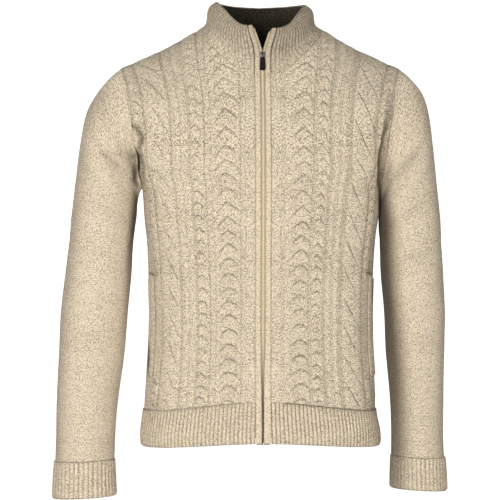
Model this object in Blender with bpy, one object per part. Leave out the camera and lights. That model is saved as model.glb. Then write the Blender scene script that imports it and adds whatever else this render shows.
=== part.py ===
# A full-zip cable-knit cardigan, filled out as if worn, with no wearer in it.
# Units in the tables are millimetres; the meshes are made in metres, +Z up, the front faces -Y.
# The origin is the middle of the neck, level with the top of the shoulder seams.
# "right" and "left" are the wearer's: the right side lies at -X.

import math

import bmesh
import bpy
import numpy as np
from mathutils import Vector

MM = 0.001

# ---------------------------------------------------------------- driving sizes
WALL = 2.6                # thickness of the knit between its cables
FLEECE = 1.6              # thickness of the collar's fleece lining
GAP = 0.3                 # clearance at every seam
ROUNDNESS = 2.3           # exponent of the body's level sections (2 is an ellipse)
CHEST = -190.0            # above this level the chest turns back to the shoulder seam
UNDERARM = -247.0         # top of the side seam
SIDE_SEAM_Y = -20.0       # the side seams lie a little in front of the widest line
FRONT_ACROSS = 240.0      # width of a front from centre to side seam, along the cloth
BACK_ACROSS = 278.0       # half the back's width, along the cloth
TURN_DEPTH = 105.0        # mean depth used for the length of cloth over the shoulder

# level sections of the body, hem to neck
BODY_SECTIONS = (
    # z, half_width, front_depth, back_depth
    (-665.0, 190.5, 118.0, 116.0),
    (-640.0, 191.0, 119.0, 117.0),
    (-605.0, 187.0, 117.0, 113.0),
    (-560.0, 183.0, 112.0, 106.0),
    (-475.0, 178.0, 108.0, 99.0),
    (-400.0, 179.0, 110.0, 98.0),
    (-331.0, 183.0, 115.0, 103.0),
    (-290.0, 187.0, 119.0, 108.0),
    (-262.0, 188.8, 120.5, 110.0),
    (-247.0, 191.0, 121.0, 111.0),
    (-228.0, 198.5, 121.5, 112.0),
    (-200.0, 212.0, 121.0, 113.0),
    (-156.0, 230.0, 116.0, 112.0),
    (-115.0, 238.0, 110.0, 110.0),
    (-57.0, 244.0, 100.0, 106.0),
    (40.0, 250.0, 90.0, 100.0),
)

# how far the cloth is stretched sideways near the shoulder
SHOULDER_STRETCH = (
    # z, stretch
    (-247.0, 1.03),
    (-200.0, 1.00),
    (-156.0, 1.00),
    (-115.0, 1.02),
    (-85.0, 1.05),
    (-57.0, 1.10),
    (40.0, 1.14),
)

# the shoulder seam, seen from the front
SHOULDER_LINE = (
    # x, z
    (0.0, 30.0),
    (60.0, 20.0),
    (103.0, 1.6),
    (137.0, -17.6),
    (161.0, -30.4),
    (186.0, -42.5),
    (204.0, -50.0),
    (224.0, -57.5),
    (250.0, -66.0),
)

# the armhole's edge, seen from the front
ARMHOLE = (
    # x, z
    (222.0, -57.0),
    (209.5, -100.0),
    (203.5, -156.0),
    (199.5, -200.0),
    (195.5, -228.0),
)

# the neck seam, seen from the front
FRONT_NECK = (
    # x, z
    (0.0, -76.0),
    (25.0, -71.0),
    (45.0, -59.0),
    (65.0, -40.0),
    (80.0, -26.0),
    (92.0, -11.0),
)
NECK_POINT_X = 101.0      # where the neck seam meets the shoulder seam
BACK_NECK_DROP = 21.0

# the hem band
HEM_SEAM_FRONT = -583.0
HEM_SEAM_SIDE = -600.0
HEM_EDGE_FRONT = -648.0
HEM_EDGE_SIDE = -658.0
RIB_PITCH = 6.4
RIB_RISE = 1.1

# cable columns of each front, by their distance from the centre along the cloth
CABLES = {
    "right": (
        # kind, inner_edge, outer_edge, repeat, level of one crossing
        ("arches", 36.0, 82.0, 22.0, -317.0),
        ("rope", 92.0, 114.0, 18.9, -369.0),
        ("ribs", 117.0, 144.0, 14.0, -190.0),
        ("thick_rope", 146.0, 189.0, 44.9, -366.0),
        ("rope", 191.0, 209.0, 18.9, -364.0),
    ),
    "left": (
        ("arches", 33.0, 79.0, 23.1, -371.0),
        ("rope", 83.0, 105.0, 18.9, -374.0),
        ("ribs", 108.0, 138.0, 14.0, -190.0),
        ("thick_rope", 141.0, 187.0, 44.9, -314.0),
        ("rope", 190.0, 208.0, 18.9, -360.0),
    ),
}
CABLE_FORM = {
    # kind: rise, and by side where across the column a lobe crests and its drops to either side
    "arches": {"rise": 2.4, "right": (0.02, 24.0, 15.0), "left": (0.32, 20.0, 20.0)},
    "rope": {"rise": 2.2, "right": (-0.35, 9.0, 9.0), "left": (-0.05, 9.0, 13.0)},
    "ribs": {"rise": 1.2, "right": (0.0, 0.0, 0.0), "left": (0.0, 0.0, 0.0)},
    "thick_rope": {"rise": 3.2, "right": (0.0, 34.0, 34.0), "left": (0.0, 34.0, 34.0)},
}

# the placket strips beside the zip, and the zip
PLACKET_INNER = 4.2
PLACKET_OUTER = 12.4
PANEL_START = 12.8
TAPE_INNER = 0.5
TAPE_OUTER = 10.5
TAPE_BACK = 1.0
ZIP_STOP = -649.0
PLACKET_END = -647.0
SLIDER_Z = -41.0
V_OPENING = 11.5          # half the width of the open neck at the collar's rim

# the collar, by turning angle round the neck: 0 at centre front, 180 at centre back
COLLAR_RIM = {
    "right": (
        # angle, x, y, z
        (0.0, 0.0, -76.0, 5.0),
        (10.0, 15.5, -76.0, 6.0),
        (22.0, 27.0, -74.5, 8.0),
        (38.0, 38.0, -70.0, 13.0),
        (55.0, 48.0, -60.0, 22.0),
        (72.0, 60.0, -44.0, 36.0),
        (88.0, 68.0, -14.0, 48.0),
        (110.0, 66.0, 20.0, 50.0),
        (145.0, 40.0, 50.0, 48.0),
        (180.0, 0.0, 60.0, 46.5),
    ),
    "left": (
        (0.0, 0.0, -76.0, 0.0),
        (10.0, 15.5, -76.0, 2.0),
        (22.0, 27.0, -74.5, 4.0),
        (38.0, 38.0, -70.0, 8.0),
        (55.0, 48.0, -60.0, 17.0),
        (72.0, 58.0, -44.0, 30.0),
        (88.0, 68.0, -14.0, 43.0),
        (110.0, 66.0, 20.0, 48.0),
        (145.0, 40.0, 50.0, 48.0),
        (180.0, 0.0, 60.0, 46.5),
    ),
}
COLLAR_PROFILE = (
    # rise (share of the collar's height), inward (share of the way from seam to rim)
    (0.0, 0.0),
    (0.16, 0.36),
    (0.40, 0.50),
    (0.66, 0.54),
    (0.84, 0.66),
    (1.0, 1.0),
)

# sleeves: one section a row, from the armhole to the wrist, as outer and inner edge
SLEEVES = {
    "right": (
        # outer_x, outer_z, inner_x, inner_z, half_depth, middle_y
        (222.0, -57.0, 190.5, -250.0, 64.0, 0.0),
        (240.5, -74.0, 193.5, -258.0, 66.0, 0.0),
        (261.0, -99.0, 196.0, -267.0, 67.0, -1.0),
        (278.0, -131.0, 198.0, -278.0, 67.0, -2.0),
        (287.5, -179.0, 199.0, -293.0, 66.0, -3.0),
        (294.5, -238.0, 201.0, -314.0, 65.0, -5.0),
        (302.5, -307.0, 203.5, -345.0, 63.0, -7.0),
        (311.0, -379.0, 207.0, -395.0, 61.0, -10.0),
        (317.0, -443.0, 211.5, -448.0, 58.0, -13.0),
        (320.5, -507.0, 217.5, -507.0, 55.0, -16.0),
        (323.0, -571.0, 225.0, -570.0, 52.0, -19.0),
        (325.5, -635.0, 231.0, -633.0, 48.0, -22.0),
        (327.0, -681.0, 233.0, -677.0, 44.0, -24.0),
    ),
    "left": (
        (222.0, -57.0, 190.5, -250.0, 64.0, 0.0),
        (240.5, -74.0, 192.0, -258.0, 66.0, 0.0),
        (259.5, -99.0, 193.0, -268.0, 67.0, -1.0),
        (269.0, -131.0, 193.0, -281.0, 67.0, -2.0),
        (275.5, -179.0, 192.5, -299.0, 66.0, -3.0),
        (281.0, -238.0, 191.5, -324.0, 64.0, -5.0),
        (288.0, -307.0, 191.0, -356.0, 61.0, -7.0),
        (292.0, -379.0, 193.0, -395.0, 59.0, -10.0),
        (293.5, -443.0, 197.0, -446.0, 56.0, -13.0),
        (292.5, -507.0, 200.5, -505.0, 53.0, -16.0),
        (290.5, -571.0, 205.0, -568.0, 50.0, -19.0),
        (290.5, -635.0, 207.5, -633.0, 47.0, -22.0),
        (292.5, -676.2, 207.5, -673.0, 44.0, -24.0),
    ),
}
CUFFS = {
    "right": (
        # outer_x, outer_z, inner_x, inner_z, half_depth, middle_y
        (327.0, -681.4, 233.0, -677.4, 44.0, -24.0),
        (329.0, -710.0, 231.5, -706.0, 43.0, -25.0),
        (330.5, -740.0, 230.0, -735.0, 42.0, -26.0),
    ),
    "left": (
        (292.5, -676.6, 207.5, -673.4, 44.0, -24.0),
        (294.5, -703.0, 206.5, -699.0, 43.0, -25.0),
        (295.5, -729.5, 206.0, -724.5, 42.0, -26.0),
    ),
}

POCKET_TOP = -387.0
POCKET_END = -547.0
WELT_INNER = 209.0         # the welt's front edge, across the front
WELT_THICK = 2.2
WELT_LIFT = 0.45           # clearance between the welt and the front it lies on
OUTERMOST_CABLE = 200.0    # a cable beyond this stops at the pocket

# the slider: a plate with two lugs that hold the pull's neck between them
SLIDER_SEAT = 0.6
SLIDER_THICK = 2.0
LUG_RISE = 2.9
SLIDER_X = (-4.3, -3.1, -1.9, 1.9, 3.1, 4.3)
SLIDER_ALONG = (-7.5, -2.0, 2.0, 3.5)    # levels above and below the pull's axis
PULL_THICK = 2.4
PULL_CLEAR = 0.5
PULL_OUTLINE = (
    # half_width, level below the pull's axis
    (0.8, -1.0),
    (1.5, -0.3),
    (1.6, 4.2),
    (3.4, 6.0),
    (4.0, 9.0),
    (4.8, 20.0),
    (4.6, 23.5),
    (3.2, 25.6),
)

# how finely each piece is built
EDGE_STEP = 1.2
SHOULDER_POINT_ACROSS = 205.0
BACK_NECK_COLUMNS = (0.0, 20.0, 40.0, 60.0, 76.0)
BACK_SHOULDER_COLUMNS = (110.0, 135.0, 160.0, 180.0, 197.0)
INNER_FRONT = (PANEL_START, 40.0, 60.0, 78.0)
INNER_BACK = (0.0, 30.0, 60.0, 76.0)
INNER_SHOULDER = (122.0, 155.0, 180.0, 197.0)
PLAIN_ROWS = 14
INNER_ROWS = 12
BACK_ROWS = 18
LOOP_EASE = 3.5           # sleeve rows over which it eases into the armhole's shape
COLLAR_ROWS = (0.0, 0.16, 0.45, 0.8, 1.0)
COLLAR_INNER_ROWS = (0.0, 0.06, 0.16, 0.45, 0.8, 1.0)
LINING_ROWS = (0.06, 0.16, 0.45, 0.8, 0.985)
COLLAR_INNER_COLUMNS = 37
COLLAR_LENGTH = 460.0
HEM_INNER_COLUMNS = 35
STRIP_ROWS_BODY = 16
STRIP_ROWS_COLLAR = 7
SLEEVE_RUNS = (0.0, 0.5, 1.0, 1.6, 2.2, 3.0, 4.0, 5.0, 6.0, 7.0, 8.0, 9.0, 10.0, 11.0, 12.0)
INNER_SLEEVE_RUNS = (0.0, 0.6, 1.4, 2.4, 3.6, 5.0, 6.5, 8.0, 10.0, 12.0)
CUFF_RIBS = 40
CUFF_INNER_COLUMNS = 18

# material: base colour, roughness, metallic
FINISHES = {
    "oatmeal_knit": ((0.60, 0.51, 0.38, 1.0), 0.95, 0.0),
    "dark_fleece": ((0.045, 0.032, 0.022, 1.0), 0.98, 0.0),
    "zip_tape": ((0.42, 0.36, 0.24, 1.0), 0.85, 0.0),
    "zip_metal": ((0.33, 0.33, 0.33, 1.0), 0.35, 1.0),
    "pull_leather": ((0.05, 0.035, 0.028, 1.0), 0.55, 0.0),
}


# ---------------------------------------------------------------- small tools
def curve_through(rows, column, at):
    """A smooth curve through one column of a table, read at the values of its first column."""
    table = np.array(rows, dtype=float)
    order = np.argsort(table[:, 0])
    keys = table[order, 0]
    values = table[order, column]
    slopes = np.gradient(values, keys)
    at = np.clip(np.asarray(at, dtype=float), keys[0], keys[-1])
    left = np.clip(np.searchsorted(keys, at, side="right") - 1, 0, len(keys) - 2)
    span = keys[left + 1] - keys[left]
    t = (at - keys[left]) / span
    return (
        values[left] * (1 + 2 * t) * (1 - t) ** 2
        + slopes[left] * span * t * (1 - t) ** 2
        + values[left + 1] * t * t * (3 - 2 * t)
        + slopes[left + 1] * span * t * t * (t - 1)
    )


def unit(vectors):
    return vectors / np.linalg.norm(vectors, axis=-1, keepdims=True)


def smooth_step(value):
    value = np.clip(value, 0.0, 1.0)
    return value * value * (3 - 2 * value)


# ---------------------------------------------------------------- the body's form
LEVELS = np.linspace(BODY_SECTIONS[0][0], BODY_SECTIONS[-1][0], 141)
TURNS = np.linspace(0.0, 1.0, 161)


def trace_levels():
    """Walk round half of each level section, from centre front to centre back, by even steps."""
    angle = np.linspace(0.0, math.pi, 721)
    power = 2.0 / ROUNDNESS
    reach = np.sin(angle).clip(0.0, 1.0) ** power
    depth = -np.sign(np.cos(angle)) * np.abs(np.cos(angle)) ** power
    xs, ys, girths, side_shares = [], [], [], []
    for z in LEVELS:
        half_width = curve_through(BODY_SECTIONS, 1, z)
        front = curve_through(BODY_SECTIONS, 2, z)
        back = curve_through(BODY_SECTIONS, 3, z)
        x = half_width * reach
        y = depth * np.where(depth < 0, front, back)
        length = np.concatenate(([0.0], np.cumsum(np.hypot(np.diff(x), np.diff(y)))))
        share = length / length[-1]
        xs.append(np.interp(TURNS, share, x))
        ys.append(np.interp(TURNS, share, y))
        girths.append(length[-1])
        side_shares.append(np.interp(SIDE_SEAM_Y, y, share))
    return np.array(xs), np.array(ys), np.array(girths), np.array(side_shares)


SECTION_X, SECTION_Y, HALF_GIRTH, SIDE_SHARE = trace_levels()


def read_section(table, z, turn):
    """Read a traced table between its levels and steps."""
    row = np.interp(z, LEVELS, np.arange(len(LEVELS)))
    column = np.clip(turn, 0.0, 1.0) * (len(TURNS) - 1)
    row0 = np.clip(np.floor(row).astype(int), 0, len(LEVELS) - 2)
    column0 = np.clip(np.floor(column).astype(int), 0, len(TURNS) - 2)
    rt = row - row0
    ct = column - column0
    lower = table[row0, column0] * (1 - ct) + table[row0, column0 + 1] * ct
    upper = table[row0 + 1, column0] * (1 - ct) + table[row0 + 1, column0 + 1] * ct
    return lower * (1 - rt) + upper * rt


def stretch(z, panel):
    """Millimetres round the section for each millimetre across the panel."""
    side = np.interp(z, LEVELS, SIDE_SHARE * HALF_GIRTH)
    whole = np.interp(z, LEVELS, HALF_GIRTH)
    across = side / FRONT_ACROSS if panel == "front" else (whole - side) / BACK_ACROSS
    shoulder = curve_through(SHOULDER_STRETCH, 1, z)
    return across + (shoulder - across) * smooth_step((z - UNDERARM) / 30.0)


def along_ring(across, z, panel):
    """Distance round the level section; beside the zip the cloth isn't stretched."""
    return across * (1.0 + (stretch(z, panel) - 1.0) * smooth_step(np.asarray(across) / 80.0))


def shoulder_rise(x):
    return curve_through(SHOULDER_LINE, 1, np.abs(x)) - CHEST


def turn_length(rise):
    """Length of cloth from the chest line over to the shoulder seam."""
    return math.pi / 2 * np.sqrt((rise**2 + TURN_DEPTH**2) / 2)


def body_point(panel, across, up):
    """A point of the body's outer ground: across from the centre and up along the cloth."""
    across = np.asarray(across, dtype=float)
    up = np.asarray(up, dtype=float)
    x = across
    for _ in range(4):
        rise = shoulder_rise(x)
        bend = np.clip((up - CHEST) / turn_length(rise), 0.0, 1.0) * math.pi / 2
        z = np.where(up > CHEST, CHEST + rise * np.sin(bend), up)
        turn = turn_of(panel, across, z)
        x = read_section(SECTION_X, z, turn)
    y = read_section(SECTION_Y, z, turn) * np.cos(bend)
    return np.stack([x, y, z], axis=-1)


def body_level(x, y, z):
    """Zero on the body's ground surface, positive outside it."""
    half_width = curve_through(BODY_SECTIONS, 1, z)
    depth = np.where(y < 0, curve_through(BODY_SECTIONS, 2, z), curve_through(BODY_SECTIONS, 3, z))
    climb = np.clip((z - CHEST) / shoulder_rise(x), 0.0, 0.999)
    low = (np.abs(x) / half_width) ** ROUNDNESS
    narrow = np.clip(1 - low, 1e-3, 1.0) ** (1 / ROUNDNESS)
    upper = (np.abs(y) / (depth * narrow)) ** 2 + ((z - CHEST) / shoulder_rise(x)) ** 2
    lower = low + (np.abs(y) / depth) ** ROUNDNESS / (1 - climb**2) ** (ROUNDNESS / 2)
    return np.where(z > -120.0, upper, lower)


def body_outward(points):
    """Unit vectors out of the body's surface."""
    x, y, z = points[..., 0], points[..., 1], points[..., 2]
    step = 0.4
    slope = np.stack([
        body_level(x + step, y, z) - body_level(x - step, y, z),
        body_level(x, y + step, z) - body_level(x, y - step, z),
        body_level(x, y, z + step) - body_level(x, y, z - step),
    ], axis=-1)
    return unit(slope)


def up_at(x, z):
    """Length up the cloth of a point that lies at this level in a column at x."""
    rise = shoulder_rise(x)
    bend = np.arcsin(np.clip((z - CHEST) / rise, 0.0, 1.0)) / (math.pi / 2)
    return np.where(z > CHEST, CHEST + bend * turn_length(rise), z)


# ---------------------------------------------------------------- the panels' edges
def across_at(panel, x, z):
    """Distance across the panel of the point at x on this level."""
    shares = np.linspace(0.0, 0.5, 400) if panel == "front" else np.linspace(1.0, 0.5, 400)
    xs = read_section(SECTION_X, np.full(400, z), shares)
    share = np.interp(x, np.maximum.accumulate(xs), shares if panel == "front" else 1.0 - shares)
    tries = np.linspace(0.0, 300.0, 1201)
    length = share * np.interp(z, LEVELS, HALF_GIRTH)
    return np.interp(length, along_ring(tries, z, panel), tries)


def top_edge(panel):
    """The upper edge of a panel, centre to side seam, as rows of across, up."""
    rows = []
    if panel == "front":
        for x, z in FRONT_NECK:
            rows.append((float(across_at(panel, x, z)), float(up_at(x, z))))
    else:
        for share in np.linspace(0.0, 0.9, 5):
            x = share * NECK_POINT_X
            level = curve_through(SHOULDER_LINE, 1, NECK_POINT_X)
            z = level - (BACK_NECK_DROP + level) * math.sqrt(1 - share**2)
            rows.append((float(across_at(panel, x, z)), float(up_at(x, z))))
    for x in (NECK_POINT_X, 125.0, 150.0, 175.0, 200.0, ARMHOLE[0][0] - 0.5):
        z = float(curve_through(SHOULDER_LINE, 1, x))
        rise = float(shoulder_rise(x))
        full = CHEST + float(turn_length(rise)) * 0.9985
        rows.append((float(across_at(panel, x, z)), full))
    for x, z in ARMHOLE[1:]:
        across = max(float(across_at(panel, x, z)), rows[-1][0] + EDGE_STEP)
        rows.append((across, float(up_at(x, z))))
    if panel == "front":
        rows.append((FRONT_ACROSS - 4.0, UNDERARM + 5.0))
        rows.append((FRONT_ACROSS, UNDERARM))
    else:
        rows.append((BACK_ACROSS - 32.0, UNDERARM + 3.0))
        rows.append((BACK_ACROSS - 20.0, UNDERARM - 3.0))
        rows.append((BACK_ACROSS, UNDERARM))
    return rows


def hem_line(turn, at_front, at_side):
    """Level of the hem's seam or edge: highest at centre front, where the zip holds it up."""
    lift = np.clip(1.0 - np.asarray(turn) / 0.42, 0.0, 1.0)
    return at_side + (at_front - at_side) * smooth_step(lift)


def turn_of(panel, across, z):
    """Share of the way round half the body, from centre front."""
    share = along_ring(across, z, panel) / np.interp(z, LEVELS, HALF_GIRTH)
    return share if panel == "front" else 1.0 - share


# ---------------------------------------------------------------- cables and ribs
def relief(side, across, up):
    """Height of the cables above the ground knit of a front, in millimetres."""
    across = np.asarray(across, dtype=float)
    up = np.asarray(up, dtype=float)
    height = np.zeros(np.broadcast(across, up).shape)
    for kind, inner, outer, repeat, start in CABLES[side]:
        place = (across - (inner + outer) / 2) / ((outer - inner) / 2)
        if side == "right":
            place = -place
        inside = np.clip(1 - np.abs(place), 0.0, 1.0)
        shoulder = np.clip(inside / 0.3, 0.0, 1.0) ** 0.6
        if outer > OUTERMOST_CABLE:
            below_top = smooth_step((POCKET_TOP + 4.0 - up) / 8.0)
            above_end = smooth_step((up - POCKET_END + 4.0) / 8.0)
            beside_pocket = below_top * above_end
            shoulder = shoulder * (1.0 - beside_pocket)
        if kind == "ribs":
            lobe = 0.5 - 0.5 * np.cos(2 * math.pi * (place + 1))
        else:
            phase = (up - start + climb(kind, side, place)) / repeat
            lobe = 0.25 + 0.75 * np.abs(np.sin(math.pi * phase)) ** 0.8
        height = np.where(inside > 0, CABLE_FORM[kind]["rise"] * shoulder * lobe, height)
    return height


def climb(kind, side, place):
    """How far a lobe has dropped at a place across its cable, from -1 to 1 toward +X."""
    crest, before, after = CABLE_FORM[kind][side]
    if kind == "thick_rope":
        return after * place
    return np.where(place < crest, before, after) * (place - crest) ** 2


# ---------------------------------------------------------------- building walls
class Wall:
    """A closed wall, built from columns of outer and inner points that climb the piece."""

    def __init__(self, name, finish):
        self.name = name
        self.finish = finish
        self.points = []
        self.faces = []

    def add(self, points):
        first = len(self.points)
        self.points.extend([tuple(point) for point in points])
        return list(range(first, len(self.points)))

    def strip(self, left, right):
        """Triangles between two runs of (index, key), whatever their counts."""
        i = j = 0
        while i < len(left) - 1 or j < len(right) - 1:
            left_next = left[i][1] + left[i + 1][1] if i < len(left) - 1 else math.inf
            right_next = right[j][1] + right[j + 1][1] if j < len(right) - 1 else math.inf
            if left_next <= right_next:
                self.faces.append((left[i][0], right[j][0], left[i + 1][0]))
                i += 1
            else:
                self.faces.append((left[i][0], right[j][0], right[j + 1][0]))
                j += 1

    def skin(self, columns, closed):
        """A sheet through columns of (across, ups, points); gives back its indexed columns."""
        runs = []
        for _, ups, points in columns:
            runs.append(list(zip(self.add(points), ups)))
        for left, right in zip(runs, runs[1:] + (runs[:1] if closed else [])):
            if right is not None:
                self.strip(left, right)
        return runs

    def build(self, outer, inner, closed=False):
        outer_runs = self.skin(outer, closed)
        inner_runs = self.skin(inner, closed)
        for end in (0, -1):
            outer_edge = [(run[end][0], column[0]) for run, column in zip(outer_runs, outer)]
            inner_edge = [(run[end][0], column[0]) for run, column in zip(inner_runs, inner)]
            if closed:
                outer_edge.append((outer_edge[0][0], outer[0][0] + 1000.0))
                inner_edge.append((inner_edge[0][0], inner[0][0] + 1000.0))
            self.strip(outer_edge, inner_edge)
            if not closed:
                self.strip(outer_runs[end], inner_runs[end])
        return self.finished()

    def finished(self):
        mesh = bpy.data.meshes.new(self.name)
        mesh.from_pydata([tuple(c * MM for c in point) for point in self.points], [], self.faces)
        shape = bmesh.new()
        shape.from_mesh(mesh)
        bmesh.ops.recalc_face_normals(shape, faces=shape.faces)
        shape.to_mesh(mesh)
        shape.free()
        mesh.shade_smooth()
        mesh.materials.append(material(self.finish))
        piece = bpy.data.objects.new(self.name, mesh)
        bpy.context.scene.collection.objects.link(piece)
        return piece


def material(finish):
    found = bpy.data.materials.get(finish)
    if found:
        return found
    made = bpy.data.materials.new(finish)
    made.use_nodes = True
    shader = made.node_tree.nodes["Principled BSDF"]
    colour, roughness, metallic = FINISHES[finish]
    shader.inputs["Base Color"].default_value = colour
    shader.inputs["Roughness"].default_value = roughness
    shader.inputs["Metallic"].default_value = metallic
    return made


# ---------------------------------------------------------------- front and back panels
def top_of(panel, across):
    rows = TOPS[panel]
    return float(np.interp(across, [row[0] for row in rows], [row[1] for row in rows]))


def bottom_of(panel, across):
    z = HEM_SEAM_SIDE
    for _ in range(3):
        z = float(hem_line(turn_of(panel, across, z), HEM_SEAM_FRONT, HEM_SEAM_SIDE))
    return z + GAP / 2


def cable_columns(side):
    """Where a front's columns of points lie, and the cable whose rows each one follows."""
    places = {
        "arches": (-1.0, -0.6, 0.0, 0.6, 1.0),
        "rope": (-1.0, -0.6, 0.0, 0.6, 1.0),
        "ribs": (-1.0, -0.5, 0.0, 0.5, 1.0),
        "thick_rope": (-1.0, -0.75, -0.4, 0.0, 0.4, 0.75, 1.0),
    }
    spots = [PANEL_START, NECK_POINT_ACROSS] + armhole_columns("front")
    for kind, inner, outer, _, _ in CABLES[side]:
        middle, half = (inner + outer) / 2, (outer - inner) / 2
        spots.extend([middle + half * place for place in places[kind]])
    spots.sort()
    kept = [a for a, b in zip(spots, spots[1:]) if b - a > 0.9 or a in armhole_columns("front")]
    return [(across,) + cable_under(side, across) for across in kept + spots[-1:]]


def cable_under(side, across):
    """The cable at this distance across a front, if its rows matter, and the place within it."""
    for cable in CABLES[side]:
        kind, inner, outer, _, _ = cable
        place = (across - (inner + outer) / 2) / ((outer - inner) / 2)
        if abs(place) < 0.99 and kind != "ribs":
            return cable, -place if side == "right" else place
    return None, 0.0


def armhole_columns(panel):
    """Columns at the corners of a panel's armhole edge, the last a seam's gap from the side."""
    corners = [row[0] for row in TOPS[panel] if row[0] > SHOULDER_POINT_ACROSS]
    corners[-1] -= GAP
    return corners


def plain_ups(panel, across, rows):
    """Even steps up a plain column, with two more beside the underarm's bend."""
    bottom, top = bottom_of(panel, across), top_of(panel, across)
    if top < UNDERARM + 60.0:
        return list(np.linspace(bottom, top, rows + 1))
    lower = np.linspace(bottom, UNDERARM - 12.0, rows // 2)
    upper = np.linspace(UNDERARM + 12.0, top, rows // 2 + 1)
    return list(lower) + [UNDERARM] + list(upper)


def cable_ups(panel, side, across, cable, toward):
    """A row on each crest and each valley of a cable's lobes."""
    kind, _, _, repeat, crossing = cable
    bottom, top = bottom_of(panel, across), top_of(panel, across)
    steps = 4 if kind == "thick_rope" else 2
    step = repeat / steps
    start = crossing - float(climb(kind, side, toward))
    first = math.ceil((bottom + step * 0.4 - start) / step)
    last = math.floor((top - step * 0.4 - start) / step)
    ups = [start + step * k for k in range(first, last + 1)]
    return [bottom] + ups + [top]


def mirrored(points, side):
    points = np.array(points)
    if side == "right":
        points[..., 0] *= -1
    return points


def front_panel(side):
    outer, inner = [], []
    for across, cable, toward in cable_columns(side):
        if cable:
            ups = np.array(cable_ups("front", side, across, cable, toward))
        else:
            ups = np.array(plain_ups("front", across, PLAIN_ROWS))
        ground = body_point("front", np.full(len(ups), across), ups)
        out = body_outward(ground)
        height = relief(side, np.full(len(ups), across), ups)[:, None]
        fade = np.minimum(np.arange(len(ups)), np.arange(len(ups))[::-1]).clip(0, 1)[:, None]
        outer.append((across, ups, mirrored(ground + out * height * fade, side)))
    inside = INNER_FRONT + (NECK_POINT_ACROSS,) + INNER_SHOULDER
    for across in list(inside) + armhole_columns("front"):
        ups = np.array(plain_ups("front", across, INNER_ROWS))
        ground = body_point("front", np.full(len(ups), across), ups)
        inner.append((across, ups, mirrored(ground - body_outward(ground) * WALL, side)))
    return Wall("front_" + side, "oatmeal_knit").build(outer, inner)


def back_panel():
    outer, inner = [], []
    inside = INNER_BACK + (NECK_POINT_ACROSS,) + INNER_SHOULDER
    for target, plain, rows, depth in ((outer, BACK_COLUMNS, BACK_ROWS, 0.0),
                                       (inner, inside, INNER_ROWS, WALL)):
        columns = list(plain) + armhole_columns("back")
        spread = sorted([-c for c in columns if c > 0] + columns)
        for across in spread:
            ups = np.array(plain_ups("back", abs(across), rows))
            ground = body_point("back", np.full(len(ups), abs(across)), ups)
            points = ground - body_outward(ground) * depth
            if across < 0:
                points = mirrored(points, "right")
            target.append((across, ups, points))
    return Wall("back", "oatmeal_knit").build(outer, inner)


# ---------------------------------------------------------------- hem band
def body_ring(turn, z, depth=0.0):
    """Points round the body at a share of the way from centre front, moved out by depth."""
    turn = np.asarray(turn, dtype=float)
    z = np.broadcast_to(np.asarray(z, dtype=float), turn.shape)
    x = read_section(SECTION_X, z, turn)
    y = read_section(SECTION_Y, z, turn)
    points = np.stack([x, y, z], axis=-1)
    return points + body_outward(points) * np.asarray(depth)[..., None]


def hem_ring(shares, rises, depth):
    """Columns of the hem band at signed shares of the way round, -1 to 1, right side first."""
    columns = []
    for share, rise in zip(shares, rises):
        turn = abs(share)
        top = float(hem_line(turn, HEM_SEAM_FRONT, HEM_SEAM_SIDE)) - GAP / 2
        edge = float(hem_line(turn, HEM_EDGE_FRONT, HEM_EDGE_SIDE))
        levels = np.array([edge, top])
        points = body_ring(np.array([turn, turn]), levels, np.full(2, depth + rise))
        columns.append((share, levels, mirrored(points, "right" if share < 0 else "left")))
    return columns


def rib_shares(start, end, length):
    """Alternate crests and valleys along a stretch of cloth, with a plain edge at each end."""
    ribs = int(round(length / RIB_PITCH))
    shares = np.linspace(start, end, 2 * ribs + 1)
    rises = np.where(np.arange(2 * ribs + 1) % 2 == 1, RIB_RISE, 0.0)
    return shares, rises


def hem_band():
    girth = float(np.interp(HEM_EDGE_SIDE, LEVELS, HALF_GIRTH))
    start = (PANEL_START + 0.8) / girth
    right, right_rise = rib_shares(-start, -1.0, girth - PANEL_START)
    left, left_rise = rib_shares(1.0, start, girth - PANEL_START)
    shares = np.concatenate([right, left[1:]])
    rises = np.concatenate([right_rise, left_rise[1:]])
    outer = [(key, ups, points) for key, (_, ups, points)
             in enumerate(hem_ring(shares, rises, 0.0))]
    half = np.linspace(start, 1.0, HEM_INNER_COLUMNS)
    coarse = np.concatenate([-half, half[::-1][1:]])
    keys = np.linspace(0.0, len(shares) - 1.0, len(coarse))
    inner = [(key, ups, points) for key, (_, ups, points)
             in zip(keys, hem_ring(coarse, np.zeros(len(coarse)), -WALL))]
    return Wall("hem_band", "oatmeal_knit").build(outer, inner)


# ---------------------------------------------------------------- collar
def neck_rows(side):
    """The neck seam on one side, centre front to centre back, as rows of angle, x, y, z, outward.

    It runs from corner to corner of the panels' own columns, so that the collar meets them."""
    rows = []
    front = [0.0] + [column[0] for column in cable_columns(side)]
    for panel, columns in (("front", front), ("back", BACK_COLUMNS)):
        edge = [(c, top_of(panel, c)) for c in columns if c <= NECK_POINT_ACROSS + 0.01]
        points = [body_point(panel, across, up) for across, up in edge]
        outs = [body_outward(point) for point in points]
        part = [(math.degrees(math.atan2(p[0], -p[1])), *p, *n) for p, n in zip(points, outs)]
        rows.extend(part if panel == "front" else part[::-1])
    return np.array(rows)


def collar_point(side, angle, rise):
    """A point of the collar's outer ground, by angle round the neck and share of its height."""
    angle, rise = np.broadcast_arrays(np.asarray(angle, float), np.asarray(rise, float))
    neck = NECK[side]
    base = [np.interp(angle, neck[:, 0], neck[:, c]) for c in (1, 2, 3)]
    rim = [curve_through(COLLAR_RIM[side], c, angle) for c in (1, 2, 3)]
    inward = curve_through(COLLAR_PROFILE, 1, rise)
    x = base[0] + (rim[0] - base[0]) * inward
    y = base[1] + (rim[1] - base[1]) * inward
    z = base[2] + (rim[2] - base[2]) * rise
    return np.stack([x + opening(x, y, z), y, z], axis=-1)


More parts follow.
